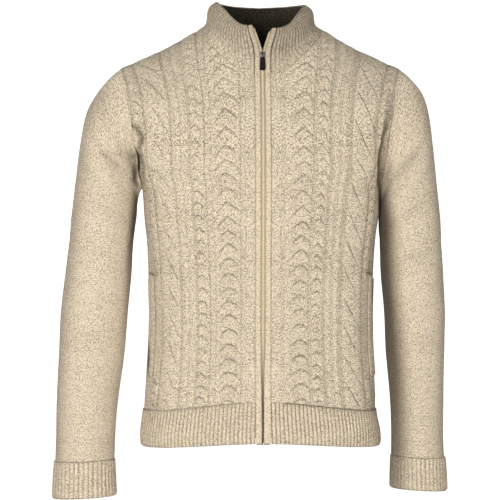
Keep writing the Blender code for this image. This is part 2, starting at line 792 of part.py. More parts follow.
def opening(x, y, z):
    """How far the unzipped top of the front stands away from the centre line."""
    spread = smooth_step((z - SLIDER_Z + 2.0) / 50.0)
    return V_OPENING * spread * np.exp(-((x / 34.0) ** 2)) * (y < 0)


def surface_outward(place, first, second, step_first, step_second):
    """Unit normals of any surface function of two values, pointing away from the middle line."""
    along = place(first + step_first, second) - place(first - step_first, second)
    up = place(first, second + step_second) - place(first, second - step_second)
    normal = unit(np.cross(along, up))
    here = place(first, second)
    flip = np.sign(np.sum(normal[..., :2] * here[..., :2], axis=-1, keepdims=True))
    return normal * np.where(flip == 0, 1.0, flip)


def collar_layer(side, angle, rises, depth):
    """One column of the collar at this angle, moved out by depth."""
    rises = np.asarray(rises, dtype=float)
    angles = np.full(len(rises), angle)
    at = np.clip(rises, 0.02, 0.98)
    safe = np.clip(angles, 1.0, 179.0)
    normal = surface_outward(lambda a, r: collar_point(side, a, r), safe, at, 0.5, 0.01)
    base = collar_point(side, angles, rises)
    if angle >= 179.5:
        normal[..., 0] = 0.0
        normal = unit(normal)
    points = base + normal * np.asarray(depth, dtype=float).reshape(-1, 1)
    if rises[0] == 0.0:
        points[0] = neck_butt(side, angle, float(np.broadcast_to(depth, len(rises))[0]))
    return points


def neck_butt(side, angle, depth):
    """The collar's lowest points stand square on the body's cut edge, a seam's gap above it."""
    neck = NECK[side]
    seam, before, after = [
        np.array([np.interp(a, neck[:, 0], neck[:, c]) for c in (1, 2, 3)])
        for a in (angle, angle - 2.0, angle + 2.0)]
    out = unit(np.array([np.interp(angle, neck[:, 0], neck[:, c]) for c in (4, 5, 6)]))
    beyond = unit(np.cross(unit(after - before), out))
    if beyond @ np.array([-seam[0], -seam[1], 40.0]) < 0:
        beyond = -beyond
    lift = 1.5 * GAP if depth >= 0.0 else 8 * GAP
    return seam + beyond * lift + out * min(depth, 0.0)


def collar_columns(angles, rises_of_rows, bumps, depth):
    """Columns from the right front edge round the back to the left front edge."""
    columns = []
    for key, (angle, bump) in enumerate(zip(angles, bumps)):
        side = "right" if angle <= 180.0 else "left"
        turn = angle if angle <= 180.0 else 360.0 - angle
        rises = np.array(rises_of_rows)
        depths = depth + bump * np.minimum(1.0, rises * 20.0) * np.where(rises > 0.99, 0.4, 1.0)
        points = mirrored(collar_layer(side, turn, rises_of_rows, depths), side)
        columns.append((float(key), np.array(rises_of_rows), points))
    return columns


def spread_keys(columns, last):
    """Renumber a coarse skin's columns so that they run beside a finer one."""
    count = len(columns) - 1
    return [(index * last / count, ups, points) for index, (_, ups, points) in enumerate(columns)]


def collar():
    ribs = int(round(COLLAR_LENGTH / RIB_PITCH))
    angles = np.linspace(COLLAR_START, 360.0 - COLLAR_START, 2 * ribs + 1)
    bumps = np.where(np.arange(2 * ribs + 1) % 2 == 1, RIB_RISE, 0.0)
    outer = collar_columns(angles, COLLAR_ROWS, bumps, 0.0)
    coarse = collar_inner_angles()
    inner = collar_columns(coarse, COLLAR_INNER_ROWS, np.zeros(len(coarse)), -WALL)
    return Wall("collar", "oatmeal_knit").build(outer, spread_keys(inner, 2.0 * ribs))


def collar_inner_angles():
    return np.linspace(COLLAR_START, 360.0 - COLLAR_START, COLLAR_INNER_COLUMNS)


def collar_lining():
    angles = collar_inner_angles()
    angles[0] += 1.5
    angles[-1] -= 1.5
    flat = np.zeros(len(angles))
    outer = collar_columns(angles, LINING_ROWS, flat, -WALL - GAP)
    inner = collar_columns(angles, LINING_ROWS, flat, -WALL - GAP - FLEECE)
    return Wall("collar_lining", "dark_fleece").build(outer, inner)


# ---------------------------------------------------------------- placket strips and zip tapes
def front_edge_point(side, away, level):
    """A point beside the zip: away from the centre line, at a level from hem to collar rim."""
    away, level = np.broadcast_arrays(np.asarray(away, float), np.asarray(level, float))
    neck = NECK[side][0, 3]
    low = np.minimum(level, neck)
    body = body_point("front", away, up_at(away, low))
    angle = np.degrees(np.arctan2(away, -NECK[side][0, 2]))
    rim = curve_through(COLLAR_RIM[side], 3, angle)
    rise = np.clip((level - neck) / (rim - neck), 0.0, 1.0)
    above = collar_point(side, angle, rise)
    point = np.where((level > neck)[..., None], above, body)
    x = away + opening(away, point[..., 1], point[..., 2])
    return np.stack([x, point[..., 1], point[..., 2]], axis=-1)


def edge_strip(name, finish, side, aways, bumps, depth, thick, low, high):
    """A strip that climbs beside the zip; bumps raise its outer columns."""
    rim = float(curve_through(COLLAR_RIM[side], 3, 5.0))
    neck = float(NECK[side][0, 3])
    levels = np.concatenate([
        np.linspace(low, neck - 6.0, STRIP_ROWS_BODY),
        np.linspace(neck + 1.0, rim + high, STRIP_ROWS_COLLAR),
    ])
    outer, inner = [], []
    for index, (away, bump) in enumerate(zip(aways, bumps)):
        aside = np.full(len(levels), away)
        ground = front_edge_point(side, aside, levels)
        normal = surface_outward(lambda a, v: front_edge_point(side, a, v), aside, levels, 0.4, 2.0)
        outer.append((away, levels, mirrored(ground + normal * (depth + bump), side)))
        if index in (0, len(aways) - 1):
            inner.append((away, levels, mirrored(ground + normal * (depth - thick), side)))
    return Wall(name, finish).build(outer, inner)


def placket(side):
    middle = (PLACKET_INNER + PLACKET_OUTER) / 2
    return edge_strip("placket_" + side, "oatmeal_knit", side,
                      (PLACKET_INNER, middle, PLACKET_OUTER), (0.0, 0.7, 0.0),
                      0.2, WALL, PLACKET_END, -0.5)


def zip_tape(side):
    return edge_strip("zip_tape_" + side, "zip_tape", side,
                      (TAPE_INNER, 1.5, 3.2, TAPE_OUTER), (0.4, 1.1, 0.0, 0.0),
                      -WALL - GAP + 0.2, TAPE_BACK, ZIP_STOP, -3.5)


# ---------------------------------------------------------------- sleeves and cuffs
def armhole_loop():
    """The body's cut edge at the armhole: front of the shoulder, down, and up the back."""
    points, outs = [], []
    for panel in ("front", "back"):
        line = [(across, top_of(panel, across)) for across in armhole_columns(panel)]
        if panel == "back":
            line = line[::-1]
        edge = [body_point(panel, across, up) for across, up in line]
        points.extend(edge)
        outs.extend([body_outward(point) for point in edge])
    return np.array(points), np.array(outs)


def loop_by_angle():
    """The armhole's loop and outward directions, read by angle: 0 at the shoulder, pi below."""
    points, outs = armhole_loop()
    lowest = int(np.argmin(points[:, 2]))
    steps = np.linalg.norm(np.diff(points, axis=0), axis=1)
    run = np.concatenate(([0.0], np.cumsum(steps)))
    down = run / run[lowest] * math.pi
    rest = math.pi + (run - run[lowest]) / (run[-1] - run[lowest]) * math.pi
    return np.where(np.arange(len(run)) <= lowest, down, rest), points, outs


def tube_point(rows, angle, run):
    """A point of a tube whose sections are table rows; angle 0 is its outer edge, front first."""
    angle, run = np.broadcast_arrays(np.asarray(angle, float), np.asarray(run, float))
    numbered = [(float(number),) + row for number, row in enumerate(rows)]
    value = [curve_through(numbered, column, run) for column in range(1, 7)]
    outer_x, outer_z, inner_x, inner_z, half_depth, middle_y = value
    x = (outer_x + inner_x) / 2 + (outer_x - inner_x) / 2 * np.cos(angle)
    z = (outer_z + inner_z) / 2 + (outer_z - inner_z) / 2 * np.cos(angle)
    y = middle_y - half_depth * np.sin(angle)
    return np.stack([x, y, z], axis=-1)


def sleeve_point(side, angle, run):
    """The sleeve's outer ground: its own sections, eased into the armhole's loop at the top."""
    point = tube_point(SLEEVES[side], angle, run)
    turn = np.mod(angle, 2 * math.pi)
    loop = np.stack([np.interp(turn, LOOP_ANGLE, LOOP[:, c]) for c in range(3)], axis=-1)
    plain = tube_point(SLEEVES[side], angle, np.zeros_like(np.asarray(run, float)))
    ease = 1.0 - smooth_step(np.asarray(run, float) / LOOP_EASE)
    return point + (loop - plain) * ease[..., None]


def tube_outward(place, rows, angle, run):
    """Unit normals of a tube, away from its own middle line."""
    along = place(angle + 0.02, run) - place(angle - 0.02, run)
    down = place(angle, run + 0.05) - place(angle, np.maximum(run - 0.05, 0.0))
    return unit(np.cross(along, down))


def sleeve_layer(side, angle, runs, depth):
    """One column of the sleeve; its first point stands on the armhole's cut edge."""
    angles = np.full(len(runs), angle)
    place = lambda a, r: sleeve_point(side, a, r)
    normal = tube_outward(place, SLEEVES[side], angles, np.maximum(runs, 0.05))
    points = place(angles, runs) + normal * depth
    turn = angle % (2 * math.pi)
    seam = np.array([np.interp(turn, LOOP_ANGLE, LOOP[:, c]) for c in range(3)])
    out = unit(np.array([np.interp(turn, LOOP_ANGLE, LOOP_OUT[:, c]) for c in range(3)]))
    ahead, behind = [
        np.array([np.interp(near % (2 * math.pi), LOOP_ANGLE, LOOP[:, c]) for c in range(3)])
        for near in (turn + 0.1, turn - 0.1)]
    beyond = unit(np.cross(unit(ahead - behind), out))
    if beyond @ (LOOP.mean(axis=0) - seam) < 0:
        beyond = -beyond
    lean = -(out + normal[0])
    lean = unit(lean - min(float(lean @ beyond), 0.0) * beyond)
    lift = 1.5 * GAP if depth >= 0.0 else 4 * GAP
    points[0] = seam + beyond * lift + lean * max(-depth, 0.0)
    return points


def sleeve_angles(widest):
    """The armhole's corners as angles, with more between where they lie too far apart."""
    corners = list(LOOP_ANGLE[:-1]) + [2 * math.pi]
    angles = []
    for start, end in zip(corners, corners[1:]):
        parts = max(1, math.ceil((end - start) / widest))
        angles.extend([start + (end - start) * part / parts for part in range(parts)])
    return angles


def sleeve(side):
    outer, inner = [], []
    for target, widest, runs, depth in ((outer, 0.36, SLEEVE_RUNS, 0.0),
                                        (inner, 0.5, INNER_SLEEVE_RUNS, -WALL)):
        for angle in sleeve_angles(widest):
            points = sleeve_layer(side, angle, np.array(runs), depth)
            target.append((angle, np.array(runs), mirrored(points, side)))
    return closed_wall("sleeve_" + side, outer, inner)


def closed_wall(name, outer, inner):
    return Wall(name, "oatmeal_knit").build(outer, inner, closed=True)


def cuff(side):
    rows = CUFFS[side]
    place = lambda a, r: tube_point(rows, a, r)
    ribs = CUFF_RIBS
    outer, inner = [], []
    for number in range(2 * ribs):
        angle = math.pi * number / ribs
        rise = RIB_RISE if number % 2 else 0.0
        runs = np.array([0.0, 2.0])
        angles = np.full(2, angle)
        points = place(angles, runs) + tube_outward(place, rows, angles, runs) * rise
        outer.append((angle, runs, mirrored(points, side)))
    for number in range(CUFF_INNER_COLUMNS):
        angle = 2 * math.pi * number / CUFF_INNER_COLUMNS
        runs = np.array([0.0, 2.0])
        angles = np.full(2, angle)
        points = place(angles, runs) - tube_outward(place, rows, angles, runs) * WALL
        inner.append((angle, runs, mirrored(points, side)))
    return closed_wall("cuff_" + side, outer, inner)


# ---------------------------------------------------------------- pocket welts
def pocket_welt(side):
    """A folded strip on the front's side edge, its top corner rounded off."""
    outer, inner = [], []
    last = FRONT_ACROSS - 1.0
    for across in np.linspace(WELT_INNER, last, 5):
        corner = 7.0 * ((across - WELT_INNER) / (last - WELT_INNER)) ** 3
        ups = np.linspace(POCKET_END, POCKET_TOP - corner, 13)
        ground = body_point("front", np.full(13, across), ups)
        out = body_outward(ground)
        swell = 0.5 * math.sin(math.pi * (across - WELT_INNER) / (last - WELT_INNER))
        outer.append((across, ups, mirrored(ground + out * (GAP + WELT_THICK + swell), side)))
        inner.append((across, ups, mirrored(ground + out * WELT_LIFT, side)))
    return Wall("pocket_welt_" + side, "oatmeal_knit").build(outer, inner)


# ---------------------------------------------------------------- slider and pull
def finished_body(name, finish, shape, place):
    bmesh.ops.recalc_face_normals(shape, faces=shape.faces)
    mesh = bpy.data.meshes.new(name)
    shape.to_mesh(mesh)
    shape.free()
    mesh.materials.append(material(finish))
    piece = bpy.data.objects.new(name, mesh)
    piece.location = Vector(place) * MM
    bpy.context.scene.collection.objects.link(piece)
    return piece


def slider_face_y():
    """The plate's front face, seated on the teeth under the open neck."""
    seat = float(front_edge_point("left", 0.6, SLIDER_Z - 4.0)[1])
    return seat - SLIDER_SEAT - SLIDER_THICK


def zip_slider():
    """A plate over the teeth; the two cells beside its middle stand up as lugs."""
    shape = bmesh.new()
    corners = {}

    def corner(i, k, out):
        if (i, k, out) not in corners:
            co = Vector((SLIDER_X[i], -out, SLIDER_ALONG[k])) * MM
            corners[i, k, out] = shape.verts.new(co)
        return corners[i, k, out]

    heights = {}
    for i in range(5):
        for k in range(3):
            heights[i, k] = LUG_RISE if k == 1 and i in (1, 3) else 0.0
    for (i, k), height in heights.items():
        around = ((i, k), (i + 1, k), (i + 1, k + 1), (i, k + 1))
        shape.faces.new([corner(*at, height) for at in around])
        shape.faces.new([corner(*at, -SLIDER_THICK) for at in around[::-1]])
        sides = ((i - 1, k), (i + 1, k), (i, k - 1), (i, k + 1))
        edges = (((i, k), (i, k + 1)), ((i + 1, k), (i + 1, k + 1)),
                 ((i, k), (i + 1, k)), ((i, k + 1), (i + 1, k + 1)))
        for beside, (one, two) in zip(sides, edges):
            low = heights.get(beside, -SLIDER_THICK)
            if low < height:
                shape.faces.new([corner(*one, low), corner(*two, low),
                                 corner(*two, height), corner(*one, height)])
    return finished_body("zip_slider", "zip_metal", shape, (0.0, slider_face_y(), SLIDER_Z))


def zip_pull():
    """The pull tab; its own origin is the axis it swings on."""
    shape = bmesh.new()
    sides = [(w, -z) for w, z in PULL_OUTLINE] + [(-w, -z) for w, z in PULL_OUTLINE[::-1]]
    rings = []
    for y in (-PULL_THICK / 2, PULL_THICK / 2):
        rings.append([shape.verts.new(Vector((x, y, z)) * MM) for x, z in sides])
    shape.faces.new(rings[0])
    shape.faces.new(rings[1][::-1])
    for index in range(len(sides)):
        ahead = (index + 1) % len(sides)
        shape.faces.new([rings[0][index], rings[0][ahead], rings[1][ahead], rings[1][index]])
    y = slider_face_y() - PULL_CLEAR - PULL_THICK / 2
    return finished_body("zip_pull", "pull_leather", shape, (0.0, y, SLIDER_Z))


TOPS = {"front": top_edge("front"), "back": top_edge("back")}
NECK_POINT_ACROSS = float(across_at("back", NECK_POINT_X,
                                    float(curve_through(SHOULDER_LINE, 1, NECK_POINT_X))))
BACK_COLUMNS = BACK_NECK_COLUMNS + (NECK_POINT_ACROSS,) + BACK_SHOULDER_COLUMNS
NECK = {"right": neck_rows("right"), "left": neck_rows("left")}
LOOP_ANGLE, LOOP, LOOP_OUT = loop_by_angle()
COLLAR_START = math.degrees(math.atan2(PANEL_START, -NECK["left"][0, 2])) + 0.6


def clear_scene():
    for thing in list(bpy.data.objects):
        bpy.data.objects.remove(thing, do_unlink=True)


def main():
    clear_scene()
    back_panel()
    hem_band()
    collar()
    collar_lining()
    zip_slider()
    zip_pull()
    for side in ("right", "left"):
        front_panel(side)
        sleeve(side)
        cuff(side)
        placket(side)
        zip_tape(side)
        pocket_welt(side)


main()
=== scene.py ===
# A full-zip cable-knit cardigan, filled out as if worn: its cloth, zip, light and camera.
# Units in the tables are millimetres; the meshes are made in metres, +Z up, the front faces -Y.
# "right" and "left" are the wearer's: the right side lies at -X.

import math

import bmesh
import bpy
import numpy as np
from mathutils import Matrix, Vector


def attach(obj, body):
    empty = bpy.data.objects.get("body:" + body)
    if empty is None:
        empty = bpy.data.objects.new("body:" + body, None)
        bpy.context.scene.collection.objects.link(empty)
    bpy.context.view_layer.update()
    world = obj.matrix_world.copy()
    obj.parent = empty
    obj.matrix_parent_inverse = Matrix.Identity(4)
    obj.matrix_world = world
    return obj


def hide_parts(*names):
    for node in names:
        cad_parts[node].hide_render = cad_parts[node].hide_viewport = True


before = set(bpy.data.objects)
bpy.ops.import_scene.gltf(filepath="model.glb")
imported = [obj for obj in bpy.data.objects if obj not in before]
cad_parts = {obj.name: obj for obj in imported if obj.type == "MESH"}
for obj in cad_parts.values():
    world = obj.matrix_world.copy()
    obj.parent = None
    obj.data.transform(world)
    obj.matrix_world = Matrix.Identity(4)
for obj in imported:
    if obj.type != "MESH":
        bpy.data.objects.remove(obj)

MM = 0.001

# ---------------------------------------------------------------- driving sizes
WALL = 2.6                # thickness of the knit between its cables
FLEECE = 1.6              # thickness of the collar's fleece lining
GAP = 0.3                 # clearance at every seam
ROUNDNESS = 2.3           # exponent of the body's level sections (2 is an ellipse)
CHEST = -190.0            # above this level the chest turns back to the shoulder seam
UNDERARM = -247.0         # top of the side seam
SIDE_SEAM_Y = -20.0       # the side seams lie a little in front of the widest line
FRONT_ACROSS = 240.0      # width of a front from centre to side seam, along the cloth
BACK_ACROSS = 278.0       # half the back's width, along the cloth
TURN_DEPTH = 105.0        # mean depth used for the length of cloth over the shoulder

# level sections of the body, hem to neck
BODY_SECTIONS = (
    # z, half_width, front_depth, back_depth
    (-665.0, 190.5, 118.0, 116.0),
    (-640.0, 191.0, 119.0, 117.0),
    (-605.0, 187.0, 117.0, 113.0),
    (-560.0, 183.0, 112.0, 106.0),
    (-475.0, 178.0, 108.0, 99.0),
    (-400.0, 179.0, 110.0, 98.0),
    (-331.0, 183.0, 115.0, 103.0),
    (-290.0, 187.0, 119.0, 108.0),
    (-262.0, 188.8, 120.5, 110.0),
    (-247.0, 191.0, 121.0, 111.0),
    (-228.0, 198.5, 121.5, 112.0),
    (-200.0, 212.0, 121.0, 113.0),
    (-156.0, 230.0, 116.0, 112.0),
    (-115.0, 238.0, 110.0, 110.0),
    (-57.0, 244.0, 100.0, 106.0),
    (40.0, 250.0, 90.0, 100.0),
)

# how far the cloth is stretched sideways near the shoulder
SHOULDER_STRETCH = (
    # z, stretch
    (-247.0, 1.03),
    (-200.0, 1.00),
    (-156.0, 1.00),
    (-115.0, 1.02),
    (-85.0, 1.05),
    (-57.0, 1.10),
    (40.0, 1.14),
)

# the shoulder seam, seen from the front
SHOULDER_LINE = (
    # x, z
    (0.0, 30.0),
    (60.0, 20.0),
    (103.0, 1.6),
    (137.0, -17.6),
    (161.0, -30.4),
    (186.0, -42.5),
    (204.0, -50.0),
    (224.0, -57.5),
    (250.0, -66.0),
)

# the armhole's edge, seen from the front
ARMHOLE = (
    # x, z
    (222.0, -57.0),
    (209.5, -100.0),
    (203.5, -156.0),
    (199.5, -200.0),
    (195.5, -228.0),
)

# the neck seam, seen from the front
FRONT_NECK = (
    # x, z
    (0.0, -76.0),
    (25.0, -71.0),
    (45.0, -59.0),
    (65.0, -40.0),
    (80.0, -26.0),
    (92.0, -11.0),
)
NECK_POINT_X = 101.0      # where the neck seam meets the shoulder seam
BACK_NECK_DROP = 21.0

# the hem band
HEM_SEAM_FRONT = -583.0
HEM_SEAM_SIDE = -600.0
HEM_EDGE_FRONT = -648.0
HEM_EDGE_SIDE = -658.0
RIB_PITCH = 6.4
RIB_RISE = 1.1

# cable columns of each front, by their distance from the centre along the cloth
CABLES = {
    "right": (
        # kind, inner_edge, outer_edge, repeat, level of one crossing
        ("arches", 36.0, 82.0, 22.0, -317.0),
        ("rope", 92.0, 114.0, 18.9, -369.0),
        ("ribs", 117.0, 144.0, 14.0, -190.0),
        ("thick_rope", 146.0, 189.0, 44.9, -366.0),
        ("rope", 191.0, 209.0, 18.9, -364.0),
    ),
    "left": (
        ("arches", 33.0, 79.0, 23.1, -371.0),
        ("rope", 83.0, 105.0, 18.9, -374.0),
        ("ribs", 108.0, 138.0, 14.0, -190.0),
        ("thick_rope", 141.0, 187.0, 44.9, -314.0),
        ("rope", 190.0, 208.0, 18.9, -360.0),
    ),
}
CABLE_FORM = {
    # rise, how square its crown is, width of the crease between lobes, line beside the column, and by
    # side: the crease's place across the column (-1 toward -X, 1 toward +X), its reach, its drops
    # the crease is sunk and given painted shade; the line beside the column is painted shade only
    "arches": {"rise": 2.6, "square": 3.0, "groove": 1.25, "side_line": 0.24,
               "right": (0.02, 0.86, 24.0, 15.0), "left": (0.32, 0.82, 20.0, 20.0)},
    "rope": {"rise": 2.2, "square": 2.2, "groove": 1.2, "side_line": 0.32,
             "right": (-0.35, 1.05, 9.0, 9.0), "left": (-0.05, 0.85, 9.0, 13.0)},
    "ribs": {"rise": 1.3, "square": 2.0, "groove": 1.0, "side_line": 0.30,
             "right": (0.0, 0.0, 0.0, 0.0), "left": (0.0, 0.0, 0.0, 0.0)},
    "thick_rope": {"rise": 3.4, "square": 2.4, "groove": 1.5, "side_line": 0.40,
                   "right": (0.25, 0.62, 0.0, 34.0), "left": (-0.25, 0.62, 0.0, 34.0)},
}
# single sunken wales of the fronts: distance from the centre, how much painted shade they get
WALE_LINES = {
    "right": ((28.0, 0.20), (33.0, 0.10), (87.0, 0.14), (130.5, 0.34), (139.0, 0.16)),
    "left": ((29.0, 0.22), (80.5, 0.12), (111.5, 0.24), (124.0, 0.14), (134.0, 0.30)),
}

# the placket strips beside the zip, and the zip
PLACKET_INNER = 3.6
PLACKET_OUTER = 12.4
PANEL_START = 12.8
TAPE_INNER = 0.5
TAPE_OUTER = 10.5
TAPE_BACK = 1.0
ZIP_STOP = -649.0
PLACKET_END = -647.0
SLIDER_Z = -41.0
CLOSED_FROM = -455.0      # below this level the plackets close over the zip
CLOSING = {"right": 1.2, "left": 3.0}
V_OPENING = 11.5          # half the width of the open neck at the collar's rim

# the collar, by turning angle round the neck: 0 at centre front, 180 at centre back
COLLAR_RIM = {
    "right": (
        # angle, x, y, z
        (0.0, 0.0, -76.0, 5.0),
        (10.0, 15.5, -76.0, 6.0),
        (22.0, 27.0, -74.5, 8.0),
        (38.0, 38.0, -70.0, 13.0),
        (55.0, 48.0, -60.0, 22.0),
        (72.0, 60.0, -44.0, 36.0),
        (88.0, 68.0, -14.0, 48.0),
        (110.0, 66.0, 20.0, 50.0),
        (145.0, 40.0, 50.0, 48.0),
        (180.0, 0.0, 60.0, 46.5),
    ),
    "left": (
        (0.0, 0.0, -76.0, 0.0),
        (10.0, 15.5, -76.0, 2.0),
        (22.0, 27.0, -74.5, 4.0),
        (38.0, 38.0, -70.0, 8.0),
        (55.0, 48.0, -60.0, 17.0),
        (72.0, 58.0, -44.0, 30.0),
        (88.0, 68.0, -14.0, 43.0),
        (110.0, 66.0, 20.0, 48.0),
        (145.0, 40.0, 50.0, 48.0),
        (180.0, 0.0, 60.0, 46.5),
    ),
}
COLLAR_PROFILE = (
    # rise (share of the collar's height), inward (share of the way from seam to rim)
    (0.0, 0.0),
    (0.16, 0.36),
    (0.40, 0.50),
    (0.66, 0.54),
    (0.84, 0.66),
    (1.0, 1.0),
)

# sleeves: one section a row, from the armhole to the wrist, as outer and inner edge
SLEEVES = {
    "right": (
        # outer_x, outer_z, inner_x, inner_z, half_depth, middle_y
        (222.0, -57.0, 190.5, -250.0, 64.0, 0.0),
        (240.5, -74.0, 193.5, -258.0, 66.0, 0.0),
        (261.0, -99.0, 196.0, -267.0, 67.0, -1.0),
        (278.0, -131.0, 198.0, -278.0, 67.0, -2.0),
        (287.5, -179.0, 199.0, -293.0, 66.0, -3.0),
        (294.5, -238.0, 201.0, -314.0, 65.0, -5.0),
        (302.5, -307.0, 203.5, -345.0, 63.0, -7.0),
        (311.0, -379.0, 207.0, -395.0, 61.0, -10.0),
        (317.0, -443.0, 211.5, -448.0, 58.0, -13.0),
        (320.5, -507.0, 217.5, -507.0, 55.0, -16.0),
        (323.0, -571.0, 225.0, -570.0, 52.0, -19.0),
        (325.5, -635.0, 231.0, -633.0, 48.0, -22.0),
        (327.0, -681.0, 233.0, -677.0, 44.0, -24.0),
    ),
    "left": (
        (222.0, -57.0, 190.5, -250.0, 64.0, 0.0),
        (240.5, -74.0, 192.0, -258.0, 66.0, 0.0),
        (259.5, -99.0, 193.0, -268.0, 67.0, -1.0),
        (269.0, -131.0, 193.0, -281.0, 67.0, -2.0),
        (275.5, -179.0, 192.5, -299.0, 66.0, -3.0),
        (281.0, -238.0, 191.5, -324.0, 64.0, -5.0),
        (288.0, -307.0, 191.0, -356.0, 61.0, -7.0),
        (292.0, -379.0, 193.0, -395.0, 59.0, -10.0),
        (293.5, -443.0, 197.0, -446.0, 56.0, -13.0),
        (292.5, -507.0, 200.5, -505.0, 53.0, -16.0),
        (290.5, -571.0, 205.0, -568.0, 50.0, -19.0),
        (290.5, -635.0, 207.5, -633.0, 47.0, -22.0),
        (292.5, -676.2, 207.5, -673.0, 44.0, -24.0),
    ),
}
CUFFS = {
    "right": (
        # outer_x, outer_z, inner_x, inner_z, half_depth, middle_y
        (327.0, -681.4, 233.0, -677.4, 44.0, -24.0),
        (329.0, -710.0, 231.5, -706.0, 43.0, -25.0),
        (330.5, -740.0, 230.0, -735.0, 42.0, -26.0),
    ),
    "left": (
        (292.5, -676.6, 207.5, -673.4, 44.0, -24.0),
        (294.5, -703.0, 206.5, -699.0, 43.0, -25.0),
        (295.5, -729.5, 206.0, -724.5, 42.0, -26.0),
    ),
}

POCKET_TOP = -387.0
POCKET_END = -547.0
WELT_INNER = 209.0         # the welt's front edge, across the front
WELT_THICK = 2.2
WELT_LIFT = 0.45           # clearance between the welt and the front it lies on
OUTERMOST_CABLE = 200.0    # a cable beyond this stops at the pocket

EDGE_STEP = 1.2
SHOULDER_POINT_ACROSS = 205.0
LOOP_EASE = 3.5
CUFF_RIBS = 40
TOOTH_PITCH = 2.5
LUG_APART = 2.5           # from the middle to each of the slider's lugs

# how fine the meshes are: columns and rows, or a step
FRONT_GRID = (172, 440)
BACK_GRID = (112, 230)
HEM_ROWS = 27
CUFF_ROWS = 24
SLEEVE_COLUMNS = 156
SLEEVE_STEP = 2.6
RIB_STEPS = 8

# what turns an angle or a share into flat cloth
SLEEVE_FLAT_RADIUS = 55.0
CUFF_FLAT_RADIUS = 42.0
CUFF_SECTION_HEIGHT = 28.0
COLLAR_HEIGHT = 78.0
CLOSING_LENGTH = 140.0    # over this length the plackets close

SLIDER_SEAT = 0.6
SLIDER_THICK = 2.0
LUG_RISE = 2.9
PULL_THICK = 2.4
PULL_CLEAR = 0.5
PULL_TAB = (
    # half_width, level below the pull's axis
    (1.5, 4.0),
    (3.2, 5.4),
    (3.8, 8.5),
    (4.5, 18.0),
    (4.7, 22.0),
    (4.2, 24.4),
    (2.6, 25.6),
)

# folds: face (-1 front, 1 back), rise (below zero a crease), width, line of x, z seen face on
ARMHOLE_FOLDS = (
    (-1, 4.0, 13.0, ((-213, -84), (-206, -115), (-203, -150))),
    (-1, 4.0, 13.0, ((213, -84), (206, -115), (203, -150))),
    (-1, -5.0, 11.0, ((-212, -188), (-199, -203), (-191, -226))),
    (-1, -4.5, 8.0, ((200, -150), (194, -196), (191, -232))),
)
BODY_FOLDS = (
    (-1, 2.4, 24.0, ((190, -236), (190, -276), (190, -322))),
    (1, 2.4, 24.0, ((190, -236), (190, -276), (190, -322))),
    (-1, -3.0, 15.0, ((186, -578), (188, -602), (192, -632))),
    (1, -3.0, 15.0, ((186, -578), (188, -602), (192, -632))),
    *ARMHOLE_FOLDS,
    (-1, -5.5, 5.0, ((-206, -146), (-190, -170), (-197, -196))),
    (-1, -4.0, 6.0, ((-199, -196), (-192, -222), (-187, -250))),
    (-1, 3.0, 8.0, ((-186, -178), (-178, -205), (-180, -240))),
    (-1, -2.2, 7.0, ((-196, -210), (-170, -225), (-140, -232))),
    (-1, 1.8, 10.0, ((-190, -238), (-160, -250), (-130, -255))),
    (-1, -5.0, 6.0, ((200, -150), (190, -190), (186, -245))),
    (-1, -3.0, 5.0, ((184, -120), (178, -165), (182, -215))),
    (-1, 2.6, 8.0, ((190, -118), (188, -160), (176, -215))),
    (-1, -2.0, 8.0, ((186, -235), (160, -250), (130, -262))),
    (-1, -1.6, 12.0, ((-170, -330), (-120, -345), (-60, -340))),
    (-1, 1.6, 14.0, ((-170, -420), (-110, -432), (-50, -425))),
    (-1, -1.6, 12.0, ((165, -350), (110, -362), (60, -352))),
    (-1, 1.6, 14.0, ((170, -470), (110, -480), (50, -470))),
    (1, -5.0, 7.0, ((-205, -150), (-188, -190), (-186, -248))),
    (1, -5.0, 7.0, ((205, -150), (188, -190), (186, -248))),
    (1, 3.0, 12.0, ((-180, -170), (-150, -240), (-90, -300))),
    (1, 2.6, 12.0, ((180, -160), (148, -236), (96, -292))),
    (1, -3.0, 14.0, ((-150, -440), (-60, -470), (20, -462))),
    (1, 2.8, 15.0, ((150, -500), (70, -520), (-30, -508))),
    (1, -2.5, 13.0, ((160, -400), (80, -428), (30, -430))),
)
